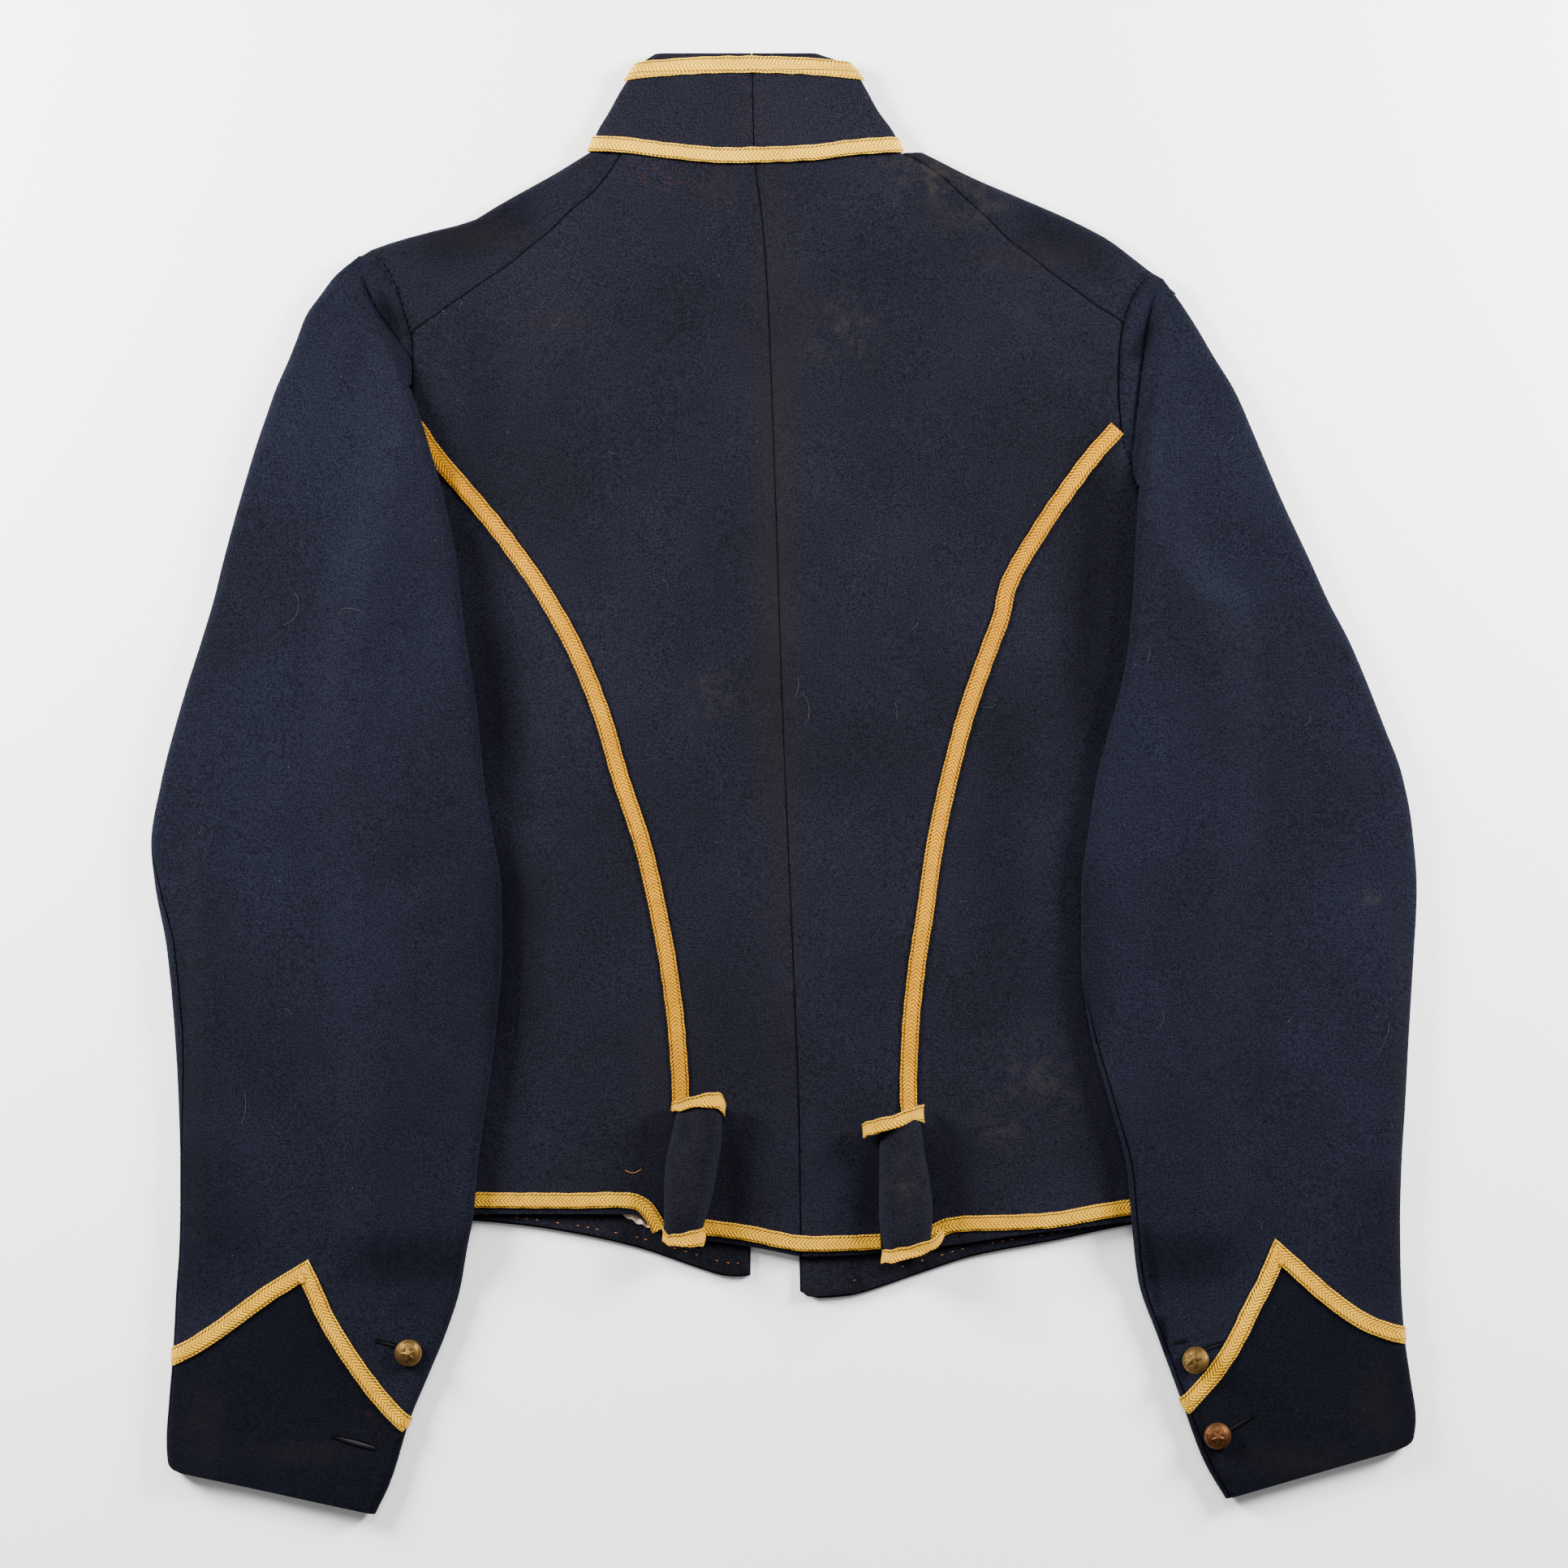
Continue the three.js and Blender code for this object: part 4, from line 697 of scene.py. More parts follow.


# Bands painted darker. Painted shade beside the sleeves and the belt rolls, in the sleeves' heads and over
# the shoulders; thin dark lines along the armhole seams and near the right cuff; and broad darker zones on
# the sleeves' outer halves.
PAINTED_SHADE_BANDS = [Crease(*row) for row in (
    (-213, 258, -194.5, 226, 4.5, 0.68, 0.4), (192, 246, 179, 212, 4.5, 0.6, 0.4),
    (-27, -176, -23, -234, 6, 0.4, 0.3), (43, -184, 43, -240, 6, 0.4, 0.3),
    (-213, 272, -200, 257, 1.5, 0.35, 0.1), (-200, 257, -194, 238, 1.5, 0.35, 0.1),
    (-194, 238, -191.6, 214, 1.5, 0.35, 0.1), (188, 262, 179.5, 249.5, 1.5, 0.35, 0.1),
    (179.5, 249.5, 174.2, 232, 1.5, 0.35, 0.1), (174.2, 232, 172.7, 206, 1.5, 0.35, 0.1),
    (185.6, -224, 193.6, -271, 1.7, 0.55, 0.1), (194.5, -273, 197.4, -297, 2, 0.8, 0.1),
    (-156, 112, -140, -20, 12, 0.5, 0.35), (-142, -20, -150, -160, 9, 0.25, 0.3),
    (162, 216, 152, -10, 13, 0.48, 0.3), (154, -20, 164, -150, 9, 0.25, 0.3),
    (-196, 270, -120, 300, 14, 0.45, 0.3), (180, 262, 110, 296, 12, 0.35, 0.3),
    (-158, 270, -158, 60, 15, 0.25, 0.3), (116, 90, 112, -170, 16, 0.22, 0.3),
    (-300, -170, -300, -285, 26, 0.3, 0.3), (305, -190, 305, -275, 22, 0.25, 0.3),
)]


def below_chevron(x: Number, y: Number) -> Number:
    """How far a place lies in a cuff's darker point, from 0 to 1, with a soft line under the tape.

    Args:
        x: the x of places seen from above.
        y: their y.

    Returns:
        The share at each.
    """
    left = np.interp(-x, [-a for a, _ in LEFT_CUFF_TAPE[::-1]], [b for _, b in LEFT_CUFF_TAPE[::-1]])
    right = np.interp(x, [a for a, _ in RIGHT_CUFF_TAPE], [b for _, b in RIGHT_CUFF_TAPE])
    line = np.where(x < 0, left, right)
    return smooth((line + 3 - y) / 8) * (np.abs(x) > 190)


class Sheet:
    """A cloth panel: a grid of points on its outer face, made into a thin wall with soft edges."""

    def __init__(self, name: str, points: np.ndarray, thickness: float, kept: np.ndarray | None = None,
                 seam: np.ndarray | None = None) -> None:
        """Measures the panel along and across its cloth.

        Args:
            name: its name.
            points: its grid of points in millimetres, rows first.
            thickness: the cloth's thickness.
            kept: which of the grid's cells are cloth, or all of them.
            seam: each point's distance from the nearest sewn edge, or none.
        """
        self.name = name
        self.seam = np.full(points.shape[:2], FAR) if seam is None else seam
        self.points = points
        self.thickness = thickness
        rows, columns = points.shape[:2]
        self.kept = np.ones((rows - 1, columns - 1), bool) if kept is None else kept
        steps = np.linalg.norm(np.diff(points, axis=1), axis=2)
        self.across = np.concatenate([np.zeros((rows, 1)), np.cumsum(steps, axis=1)], axis=1)
        rises = np.linalg.norm(np.diff(points, axis=0), axis=2)
        self.along = np.concatenate([np.zeros((1, columns)), np.cumsum(rises, axis=0)], axis=0)

    def area(self) -> float:
        """The cloth's own area in square metres, one side of it.

        Returns:
            The area.
        """
        p = self.points * MM
        first = np.cross(p[:-1, 1:] - p[:-1, :-1], p[1:, 1:] - p[:-1, :-1])
        second = np.cross(p[1:, 1:] - p[:-1, :-1], p[1:, :-1] - p[:-1, :-1])
        areas = (np.linalg.norm(first, axis=2) + np.linalg.norm(second, axis=2)) / 2
        return float(areas[self.kept].sum())

    def wear(self) -> np.ndarray:
        """Worn, dusty and rusty amounts at each point, from the marks, and the painted shade.

        Returns:
            Their amounts, and how light the cloth is: its painted shade and the cuffs' darker points.
        """
        colour = np.zeros((*self.points.shape[:2], 4))
        colour[..., 3] = 1
        x, y, z = (self.points[..., k] for k in range(3))
        for mark in MARKS:
            away = ((x - mark.x) / mark.wide) ** 2 + ((y - mark.y) / mark.tall) ** 2
            amount = mark.strength * np.exp(-away) * (z > 3)
            colour[..., mark.kind] = np.maximum(colour[..., mark.kind], amount)
        # Painted shade from the shade bands, kept in the alpha with the cuffs' darker points.
        shade = sum(crease.height(x, y) for crease in PAINTED_SHADE_BANDS) * (z > 3)
        colour[..., 3] = (1 - 0.55 * below_chevron(x, y)) * (1 - np.minimum(shade, 0.7))
        return colour

    def build(self, finish: Finish, slot: str, centre: bool = False) -> bpy.types.Object:
        """Makes the panel's mesh.

        Args:
            finish: what it is made of.
            slot: the record's material slot.
            centre: whether its weave is laid out from its middle column.

        Returns:
            The finished object, riding on the jacket.
        """
        rows, columns = self.points.shape[:2]
        used = np.zeros((rows, columns), bool)
        for di, dj in ((0, 0), (0, 1), (1, 0), (1, 1)):
            used[di:rows - 1 + di, dj:columns - 1 + dj] |= self.kept
        number = -np.ones((rows, columns), int)
        number[used] = np.arange(used.sum())
        i, j = np.nonzero(self.kept)
        faces = np.stack([number[i, j], number[i, j + 1], number[i + 1, j + 1], number[i + 1, j]], axis=1)
        obj = new_piece(self.name, self.points[used], faces.tolist())
        start = self.across[:, columns // 2][:, None] if centre else 0.0
        v = self.along[:, columns // 2][:, None] + np.zeros((rows, columns))
        mark_cloth(obj.data, self.wear()[used], np.stack([self.across - start, v], axis=2)[used] * MM)
        distance = obj.data.attributes.new("seam", "FLOAT", "POINT")
        distance.data.foreach_set("value", (FAR - np.minimum(self.seam, FAR))[used].ravel())
        thicken(obj, self.thickness)
        return dress(obj, finish, slot)

    def declare(self, obj: bpy.types.Object) -> None:
        """States the panel's flat cut.

        Args:
            obj: its finished object.
        """
        width = max(float(self.across[:, -1].max()) * MM, NARROWEST)
        length = float((self.along[-1]).max()) * MM
        area = min(self.area(), width * length)
        CUTS.append((obj.name, round(width * 1000), round(length * 1000), round(area, 4)))


def new_piece(name: str, points: np.ndarray | list, faces: list) -> bpy.types.Object:
    """Makes a mesh object and links it to the scene.

    Args:
        name: the name of the object and its mesh.
        points: the vertices in millimetres.
        faces: the numbers of each face's vertices.

    Returns:
        The object.
    """
    mesh = bpy.data.meshes.new(name)
    mesh.from_pydata((np.array(points) * MM).tolist(), [], faces)
    obj = bpy.data.objects.new(name, mesh)
    bpy.context.scene.collection.objects.link(obj)
    return obj


def mark_cloth(mesh: bpy.types.Mesh, wear: np.ndarray, flat: np.ndarray) -> None:
    """Stores what the cloth's finish reads.

    Args:
        mesh: the mesh.
        wear: the worn, dusty and rusty amounts and the painted shade at each vertex.
        flat: where each vertex lies on the flat cloth, in metres.
    """
    attribute = mesh.color_attributes.new("wear", "FLOAT_COLOR", "POINT")
    attribute.data.foreach_set("color", wear.ravel())
    layer = mesh.uv_layers.new(name="UVMap")
    corner = np.empty(len(mesh.loops), int)
    mesh.loops.foreach_get("vertex_index", corner)
    layer.data.foreach_set("uv", flat[corner].ravel())


# The flat cut of each sheet, for the log.
CUTS: list = []
# The least width that a flat cut is stated with; a narrower tape's own area is stated beside it.
NARROWEST = 0.01


def apply_modifiers(obj: bpy.types.Object) -> None:
    """Applies every modifier of an object.

    Args:
        obj: the object.
    """
    bpy.ops.object.select_all(action="DESELECT")
    bpy.context.view_layer.objects.active = obj
    obj.select_set(True)
    for modifier in list(obj.modifiers):
        bpy.ops.object.modifier_apply(modifier=modifier.name)


def thicken(obj: bpy.types.Object, thickness: float) -> None:
    """Gives a face its thickness, inwards, with rounded cut edges.

    Args:
        obj: the face's object.
        thickness: the cloth's thickness in millimetres.
    """
    solid = obj.modifiers.new("thickness", "SOLIDIFY")
    solid.thickness = thickness * MM
    solid.offset = -1
    solid.use_rim = True
    soft = obj.modifiers.new("soft edges", "BEVEL")
    soft.width = min(0.3 * thickness, 0.6) * MM
    soft.segments = 2
    soft.limit_method = "ANGLE"
    soft.angle_limit = math.radians(62)
    apply_modifiers(obj)


def dress(obj: bpy.types.Object, finish: Finish, slot: str) -> bpy.types.Object:
    """Gives a piece its finish and slot, smooth shading, and a ride on the jacket.

    Args:
        obj: the piece.
        finish: what it is made of.
        slot: the record's material slot.

    Returns:
        The same piece.
    """
    obj.data.materials.clear()
    obj.data.materials.append(FINISHES.get(finish))
    obj.data.polygons.foreach_set("use_smooth", np.ones(len(obj.data.polygons), bool))
    obj.data.update()
    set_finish(obj, slot)
    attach(obj, "root")
    return obj


def triangles() -> int:
    """How many triangles the scene's own pieces have."""
    return sum(len(p.vertices) - 2 for o in bpy.data.objects if o.type == "MESH" and o.get("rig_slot")
               for p in o.data.polygons)


def walk(path: np.ndarray, distances: np.ndarray) -> np.ndarray:
    """Points at the given distances along a path of points."""
    lengths = np.concatenate([[0], np.cumsum(np.linalg.norm(np.diff(path, axis=0), axis=1))])
    return np.stack([np.interp(distances, lengths, path[:, k]) for k in range(3)], axis=1)


def path_length(path: np.ndarray) -> float:
    """The length of a path of points."""
    return float(np.linalg.norm(np.diff(path, axis=0), axis=1).sum())


@dataclass
class Side:
    """One side of the jacket, with the tables that shape it."""

    name: str
    sign: int
    body: Table
    armhole: Table
    back_hem: Table
    front_hem: Table
    sleeve: Table

    def ordered(self, points: np.ndarray) -> np.ndarray:
        """The points so that their face looks outwards: turned round on the right."""
        return points if self.sign < 0 else points[::-1]

    def shifted(self, hem: Table, out: Number, y: Number) -> Number:
        """A nominal height moved to the hem's and the neck's real lines.

        Args:
            hem: how far the hem drops.
            out: distances from the middle.
            y: nominal heights.

        Returns:
            The heights on the jacket.
        """
        hem_fade = clamp01(1 - (y - self.body.first) / HEM_FADE)
        neck_fade = clamp01(1 - (self.body.last - y) / NECK_FADE)
        drop = NECK_SEAM.read("drop", self.sign * np.asarray(out, float))
        return y - hem.read("drop", out) * hem_fade - drop * neck_fade


SIDES = [
    Side("left", -1, LEFT_BODY, LEFT_ARMHOLE, LEFT_BACK_HEM, LEFT_FRONT_HEM, LEFT_SLEEVE),
    Side("right", 1, RIGHT_BODY, RIGHT_ARMHOLE, RIGHT_BACK_HEM, RIGHT_FRONT_HEM, RIGHT_SLEEVE),
]


def seam_dip(distance: Number) -> Number:
    """How far cloth dips towards a pressed seam, at a distance from it."""
    return 0.55 * np.exp(-((distance / 2.1) ** 2))


@dataclass
class Body:
    """The back halves and the fronts of one side."""

    side: Side
    step: float = 2.9
    columns: int = 78

    def heights(self) -> np.ndarray:
        """The nominal heights of the grid's rows."""
        stops = [self.side.body.first, self.side.armhole.first, self.cut_end(), self.side.body.last]
        runs = [np.linspace(a, b, int((b - a) / self.step))[k > 0:]
                for k, (a, b) in enumerate(zip(stops, stops[1:]))]
        return np.concatenate(runs)

    def cut_end(self) -> float:
        """Where the armhole ends at the shoulder: just above the sleeve's head."""
        return float(self.side.sleeve.last) + 0.3

    def edge(self, y: float) -> float:
        """The back's outer edge: its seam, or the armhole where that comes first.

        Args:
            y: the nominal height.

        Returns:
            Its distance from the middle.
        """
        side = self.side
        edge = float(side.body.read("seam", y)) - 0.18
        if y > side.armhole.rows[3, 0]:
            edge = min(edge, float(side.armhole.read("out", y)) - 0.15)
        return edge

    def slope(self, y: float) -> float:
        """How much longer a level distance to the back's outer edge is than the shortest one."""
        return min(2.0, math.hypot(1, (self.edge(y + 1) - self.edge(y - 1)) / 2))

    def back(self) -> None:
        """A back half, from its side-back seam, armhole and shoulder seam to the centre seam."""
        side = self.side
        rows, seams = [], []
        for y in self.heights():
            edge = self.edge(y)
            centre = float(CENTRE_SEAM.read("x", y)) * side.sign + 0.12
            main = mix(edge, centre, np.linspace(0, 1, self.columns))
            out = np.concatenate([[edge + 2.2, edge + 0.3], main])
            x, at = side.sign * out, side.shifted(side.back_hem, out, y)
            z = face_height(x, at)
            z[:2] -= 0.9
            z -= seam_dip(out - centre) * (1 + 0.5 * PUCKER(x * 3, at))
            z -= 0.5 * seam_dip(edge - out)
            z -= 0.35 * np.exp(-((y - side.body.first) / 2.5) ** 2)
            rows.append(side.ordered(np.stack([x, at, z], axis=1)))
            near = np.minimum(np.abs(out - centre), np.abs(out - edge) / self.slope(y))
            seams.append(near if side.sign < 0 else near[::-1])
        sheet = Sheet(f"back_{side.name}_cloth", np.array(rows), WALL, seam=np.array(seams))
        obj = sheet.build(Finish.NAVY, "navy_cloth", centre=True)
        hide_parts(f"back_{side.name}")
        sheet.declare(obj)

    def section(self, y: float) -> np.ndarray:
        """A front's section: along the lower layer, round the fold and back to its seam.

        Args:
            y: the section's nominal height.

        Returns:
            Its points, from the front edge to the seam.
        """
        side = self.side
        fold = float(side.body.read("fold", y))
        seam = float(side.body.read("seam", y)) + 0.18
        front = float(side.body.read("front", y)) + SEAM_GAP
        rise = float(side.body.read("fold", y + 1) - side.body.read("fold", y - 1)) / 2
        reach = min(9.0, 3.4 * math.hypot(rise, 1))
        middle = BODY_HEIGHT / 2
        flat = mix(front, fold - reach, np.linspace(0, 1, 30))
        angle = np.linspace(0, math.pi / 2, 9)[1:]
        out = np.concatenate([flat, fold - reach + reach * np.sin(angle)])
        z = np.concatenate([np.zeros(30), middle - middle * np.cos(angle)])
        at = side.shifted(side.front_hem, out, y)
        lower = np.stack([out, at, z], axis=1)
        stop = math.pi / 2 - math.asin(float(clamp01((seam - fold + reach) / reach)))
        angle = np.linspace(0, stop, 9)
        out = fold - reach + reach * np.cos(angle)
        z = middle + middle * np.sin(angle)
        if seam < fold - reach:
            more = mix(fold - reach, seam, np.linspace(0, 1, 60)[1:])
            top = face_height(side.sign * more, side.shifted(side.back_hem, more, y))
            blend = smooth((fold - reach - more) / 6)
            out, z = np.concatenate([out, more]), np.concatenate([z, mix(BODY_HEIGHT, top, blend)])
        z = z - 0.5 * seam_dip(out - seam)
        upper = np.stack([out, side.shifted(side.back_hem, out, y), z], axis=1)
        under, over = path_length(lower), path_length(upper)
        turn = under - 7
        low = walk(lower, np.concatenate([np.linspace(0, turn, 40), np.linspace(turn, under, 8)[1:]]))
        bend = min(7.0, over * 0.4)
        high = walk(upper, np.concatenate([np.linspace(0, bend, 8), np.linspace(bend, over, 50)[1:]]))
        points = np.concatenate([low, high[1:]])
        points[:, 0] *= side.sign
        return points

    def front(self) -> None:
        """A front, with the armhole cut out of it."""
        side = self.side
        rows = np.array([self.section(y) for y in self.heights()])
        out = side.sign * rows[..., 0]
        y = rows[..., 1]
        allowance = 3.5 * (rows[..., 2] > BODY_HEIGHT / 2)
        line = side.armhole.read("out", y)
        inside = (y > side.armhole.first + 0.01) & (y < self.cut_end() - 10)
        beyond = inside & (out > line + allowance)
        beneath = (y >= self.cut_end() - 10) & (y < side.sleeve.last)
        out = np.where(beneath, np.minimum(out, side.sleeve.read("outer", y) - 1.8), out)
        rows[..., 0] = side.sign * out
        rows[..., 2] -= 2.1 * ((inside | beneath) & (rows[..., 2] > 4)) * smooth((out - line - 0.3) / 1.2)
        removed = beyond.copy()
        for i in range(rows.shape[0]):
            for j in range(rows.shape[1] - 1):
                if removed[i, j] != removed[i, j + 1]:
                    near = j if removed[i, j] else j + 1
                    out[i, near] = line[i, near] + allowance[i, near]
                    rows[i, near, 0] = side.sign * out[i, near]
                    beyond[i, near] = False
        kept = ~(beyond[:-1, :-1] | beyond[:-1, 1:] | beyond[1:, :-1] | beyond[1:, 1:])
        lean = np.array([[self.slope(at)] for at in self.heights()])
        seam = np.where(rows[..., 2] > BODY_HEIGHT / 2, (out - out[:, -1:]) / lean, FAR)
        if side.sign > 0:
            rows, kept, seam = rows[:, ::-1], kept[:, ::-1], seam[:, ::-1]
        sheet = Sheet(f"front_{side.name}_cloth", rows, WALL, kept, seam)
        obj = sheet.build(Finish.NAVY, "navy_cloth")
        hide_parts(f"front_{side.name}")
        sheet.declare(obj)

    def build(self) -> None:
        """Both panels of the side."""
        self.front()
        self.back()


# The sleeves' soft creases, seen from above: at the head, the elbow and the forearm, on each side.
SLEEVE_CREASES = [Crease(*row) for row in (
    (-212, 226, -236, 180, 8, 0.7, 0.35), (-226, 250, -246, 214, 7, 0.5, 0.4),
    (-184, 120, -190, 20, 10, 0.6, 0.35), (-270, 120, -282, 30, 12, 0.5, 0.4),
    (-160, -30, -214, -58, 10, 0.55, 0.4), (-158, -70, -206, -84, 8, 0.45, 0.4),
    (-316, -30, -262, -50, 12, 0.45, 0.4), (-240, -90, -246, -190, 16, -0.4, 0.4),
    (-170, -170, -176, -250, 9, 0.5, 0.35), (-300, -130, -304, -250, 9, 0.4, 0.4),
    (-230, -285, -262, -330, 12, 0.35, 0.4), (-190, -262, -206, -286, 7, 0.5, 0.4),
    (204, 216, 226, 168, 8, 0.7, 0.35), (214, 236, 240, 196, 7, 0.5, 0.4),
    (196, 130, 198, 30, 10, 0.6, 0.35), (262, 110, 284, 20, 12, 0.5, 0.4),
    (170, -46, 222, -70, 10, 0.55, 0.4), (172, -90, 216, -100, 8, 0.45, 0.4),
    (316, -50, 264, -64, 12, 0.45, 0.4), (248, -110, 250, -200, 16, -0.4, 0.4),
    (184, -176, 190, -256, 9, 0.5, 0.35), (306, -140, 308, -250, 9, 0.4, 0.4),
    (262, -290, 288, -330, 12, 0.35, 0.4), (206, -256, 216, -280, 7, 0.5, 0.4),
)]


@dataclass
class Sleeve:
    """A two-piece sleeve, laid over the side of the body."""

    side: Side

    def support(self, out: Number, y: Number) -> Number:
        """The height of the sleeve's lowest face, on the body or beside it.

        Args:
            out: distances from the middle.
            y: the heights on the jacket.

        Returns:
            The height at each.
        """
        side = self.side
        edge = np.where(y > side.armhole.first, side.armhole.read("out", y), side.body.read("fold", y))
        below = smooth((y - CUFF_DROP[0]) / (CUFF_DROP[1] - CUFF_DROP[0]))
        return SLEEVE_REST * below * smooth((edge + SLEEVE_RAMP_REACH - out) / SLEEVE_RAMP)

    def top(self, out: Number, y: Number) -> Number:
        """The height of its upper face, lower towards the shoulder.

        Args:
            out: distances from the middle.
            y: the heights on the jacket.

        Returns:
            The height at each.
        """
        risen = smooth((self.side.armhole.last - y) / HEAD_RISE_LENGTH)
        x = self.side.sign * out
        low = sum(crease.height(x, y) for crease in SLEEVE_CREASES)
        face = mix(BODY_HEIGHT, self.support(out, y) + SLEEVE_HEIGHT, risen)
        return face - low * risen + (0.3 * BROAD(x + 400, y) + 0.06 * FINE(x, y)) * risen

    def section(self, along: float) -> dict:
        """A section across the sleeve.

        Args:
            along: where it is, in the table's first column.

        Returns:
            Two paths from its outer edge, over the top and back along the bottom, the distance to the
            inner edge, whether it stands open over the armhole, and the table's row.
        """
        side = self.side
        row = {name: float(side.sleeve.read(name, along)) for name in side.sleeve.names[1:]}
        round_off = float(clamp01(1 - (along - side.sleeve.first) / CUFF_CORNER))
        outer = row["outer"] - CUFF_CORNER * (1 - math.sqrt(1 - round_off ** 2))
        fold = row["fold"]
        width = row["outer"] - fold
        reach = min(EDGE_REACH, width / 3)

        def at(out: Number) -> Number:
            """The section's height at distances from the middle."""
            return mix(row["outerY"], row["foldY"], (row["outer"] - out) / max(width, 1))

        def place(out: np.ndarray, z: Number) -> np.ndarray:
            """Points of the section."""
            return np.stack([out, at(out), z + np.zeros_like(out)], axis=1)

        is_open = row["foldY"] > side.armhole.first
        ahead, behind = (float(side.armhole.read("out", row["foldY"] + k)) for k in (2, -2))
        rise = (ahead - behind) / 4
        armhole = float(side.armhole.read("out", row["foldY"])) + 0.3 * math.hypot(rise, 1)
        outer_top = float(self.top(outer - reach, at(outer - reach)))
        angle = np.linspace(0, math.pi / 2, 9)
        parts = [place(outer - reach + reach * np.cos(angle), outer_top / 2 * (1 + np.sin(angle)))]
        out = mix(outer - reach, fold + reach, np.linspace(0, 1, 61)[1:])
        parts.append(place(out, self.top(out, at(out))))
        inner_top = float(self.top(fold + reach, at(fold + reach)))
        valley = fold - armhole
        is_valley = is_open and valley >= 0
        inner_low = BODY_HEIGHT if is_valley else float(self.support(fold + reach, row["foldY"]))
        middle, half = (inner_top + inner_low) / 2, (inner_top - inner_low) / 2
        angle = np.linspace(0, math.pi / 2 if is_valley else math.pi, 9 if is_valley else 17)[1:]
        nose = place(fold + reach - reach * np.sin(angle), middle + half * np.cos(angle))
        parts.append(nose)
        tip = path_length(np.concatenate(parts if is_valley else [*parts[:-1], nose[:8]]))
        if is_valley:
            foot = min(4.0, valley)
            angle = np.linspace(0, math.pi / 2, 9)[1:]
            parts.append(place(fold - foot * (1 - np.cos(angle)), middle - half * np.sin(angle)))
            gentle = float(smooth((row["foldY"] - 140) / 80))
            for k, part in enumerate((nose, parts[-1])):
                s = (k + np.linspace(0, 1, 9)[1:]) / 2
                part[:, 0] = mix(part[:, 0], fold + reach - (reach + foot) * s, gentle)
                part[:, 2] = mix(part[:, 2], inner_top - 2 * half * smooth(s), gentle)
            end = min(armhole, fold - foot - 0.01)
            out = mix(fold - foot, end, np.linspace(0, 1, 14)[1:])
            faded = float(smooth((side.armhole.last - row["foldY"] - 6) / 16))
            deep = faded * min(2.6, 0.18 * valley) * np.exp(-(((out - fold + foot) / 5.5) ** 2))
            parts.append(place(out, BODY_HEIGHT - 0.5 * seam_dip(out - end) - deep))
        else:
            end = max(armhole, fold + reach + 0.5) if is_open else outer - reach
            out = mix(fold + reach, end, np.linspace(0, 1, 41)[1:])
            parts.append(place(out, inner_low if is_open else self.support(out, at(out))))
        angle = np.linspace(0, math.pi / 2, 9)
        under = [place(outer - reach + reach * np.cos(angle), outer_top / 2 * (1 - np.sin(angle)))]
        end = min(armhole, outer - reach - 0.5) if is_open else fold + reach
        out = mix(outer - reach, end, np.linspace(0, 1, 41)[1:])
        under.append(place(out, 0 if is_open else self.support(out, at(out))))
        if not is_open:
            parts.append(under[0][:8][::-1])
        return {"over": np.concatenate(parts), "under": np.concatenate(under), "tip": tip,
                "open": is_open, **row}

    def grids(self) -> tuple:
        """The sleeve's two cloth pieces.

        Returns:
            The top sleeve's and the under sleeve's grids of points, and how far each point of the top
            sleeve is from a seam.
        """
        side = self.side
        gap = 0.6
        top_rows, under_rows, seams = [], [], []
        first, last = side.sleeve.first, side.sleeve.last
        # The rows stand closest at the cuff, where the corner is rounded.
        cuff = first + np.array([0, 0.4, 1.0, 1.8, 2.8, 4.0])
        for along in np.concatenate([cuff, np.linspace(first + 5.5, last, 202)]):
            section = self.section(float(along))
            over, under = section["over"], section["under"]
            whole = path_length(over)
            seam = whole if section["open"] else section["tip"] + section["seam"]
            lip = section["lip"]
            near = min(7.0, 0.45 * section["tip"])
            lead = np.linspace(lip, near, 12)
            middle = np.linspace(near, section["tip"] - near, 64)[1:]
            tail = np.linspace(section["tip"] - near, seam, 34)[1:]
            around = np.concatenate([lead, middle, tail])
            top_rows.append(side.ordered(self.around(section, around)))
            near = np.minimum(around - lip + 0.15, seam - around)
            seams.append(near if side.sign < 0 else near[::-1])
            if section["open"]:
                start, end = -path_length(under), lip - gap
                bend = min(end - 0.5, max(0.6 * start, -10.0))
            else:
                start, end = seam + gap, whole + lip - gap
                bend = end - 12
            around = np.concatenate([np.linspace(start, bend, 50), np.linspace(bend, end, 14)[1:]])
            around = np.where(around > whole, around - whole, around)
            under_rows.append(side.ordered(self.around(section, around)))
        return np.array(top_rows), np.array(under_rows), np.array(seams)

    def around(self, section: dict, distances: np.ndarray) -> np.ndarray:
        """Points of a section.

        Args:
            section: the section.
            distances: how far round it each point is; below 0 it runs back along the bottom.

        Returns:
            The points.
        """
        over = walk(section["over"], np.maximum(distances, 0))
        under = walk(section["under"], np.maximum(-distances, 0))
        points = np.where((distances < 0)[:, None], under, over)
        points[:, 0] *= self.side.sign
        return points

    def edges(self, x: Number, y: Number) -> tuple:
        """The sleeve's edges at the sections through places seen from above.

        Args:
            x: the places' own x.
            y: their y.

        Returns:
            The distances of the outer edge and of the inner fold from the middle.
        """
        side = self.side
        out = side.sign * np.asarray(x, float)
        y = np.asarray(y, float) + np.zeros_like(out)
        low = np.full(out.shape, side.sleeve.first)
        high = np.full(out.shape, side.sleeve.last)
        for _ in range(22):
            v = (low + high) / 2
            outer, fold = side.sleeve.read("outer", v), side.sleeve.read("fold", v)
            at = mix(side.sleeve.read("outerY", v), side.sleeve.read("foldY", v),
                     (outer - out) / np.maximum(outer - fold, 1))
            low, high = np.where(at < y, v, low), np.where(at < y, high, v)
        return side.sleeve.read("outer", low), side.sleeve.read("fold", low)

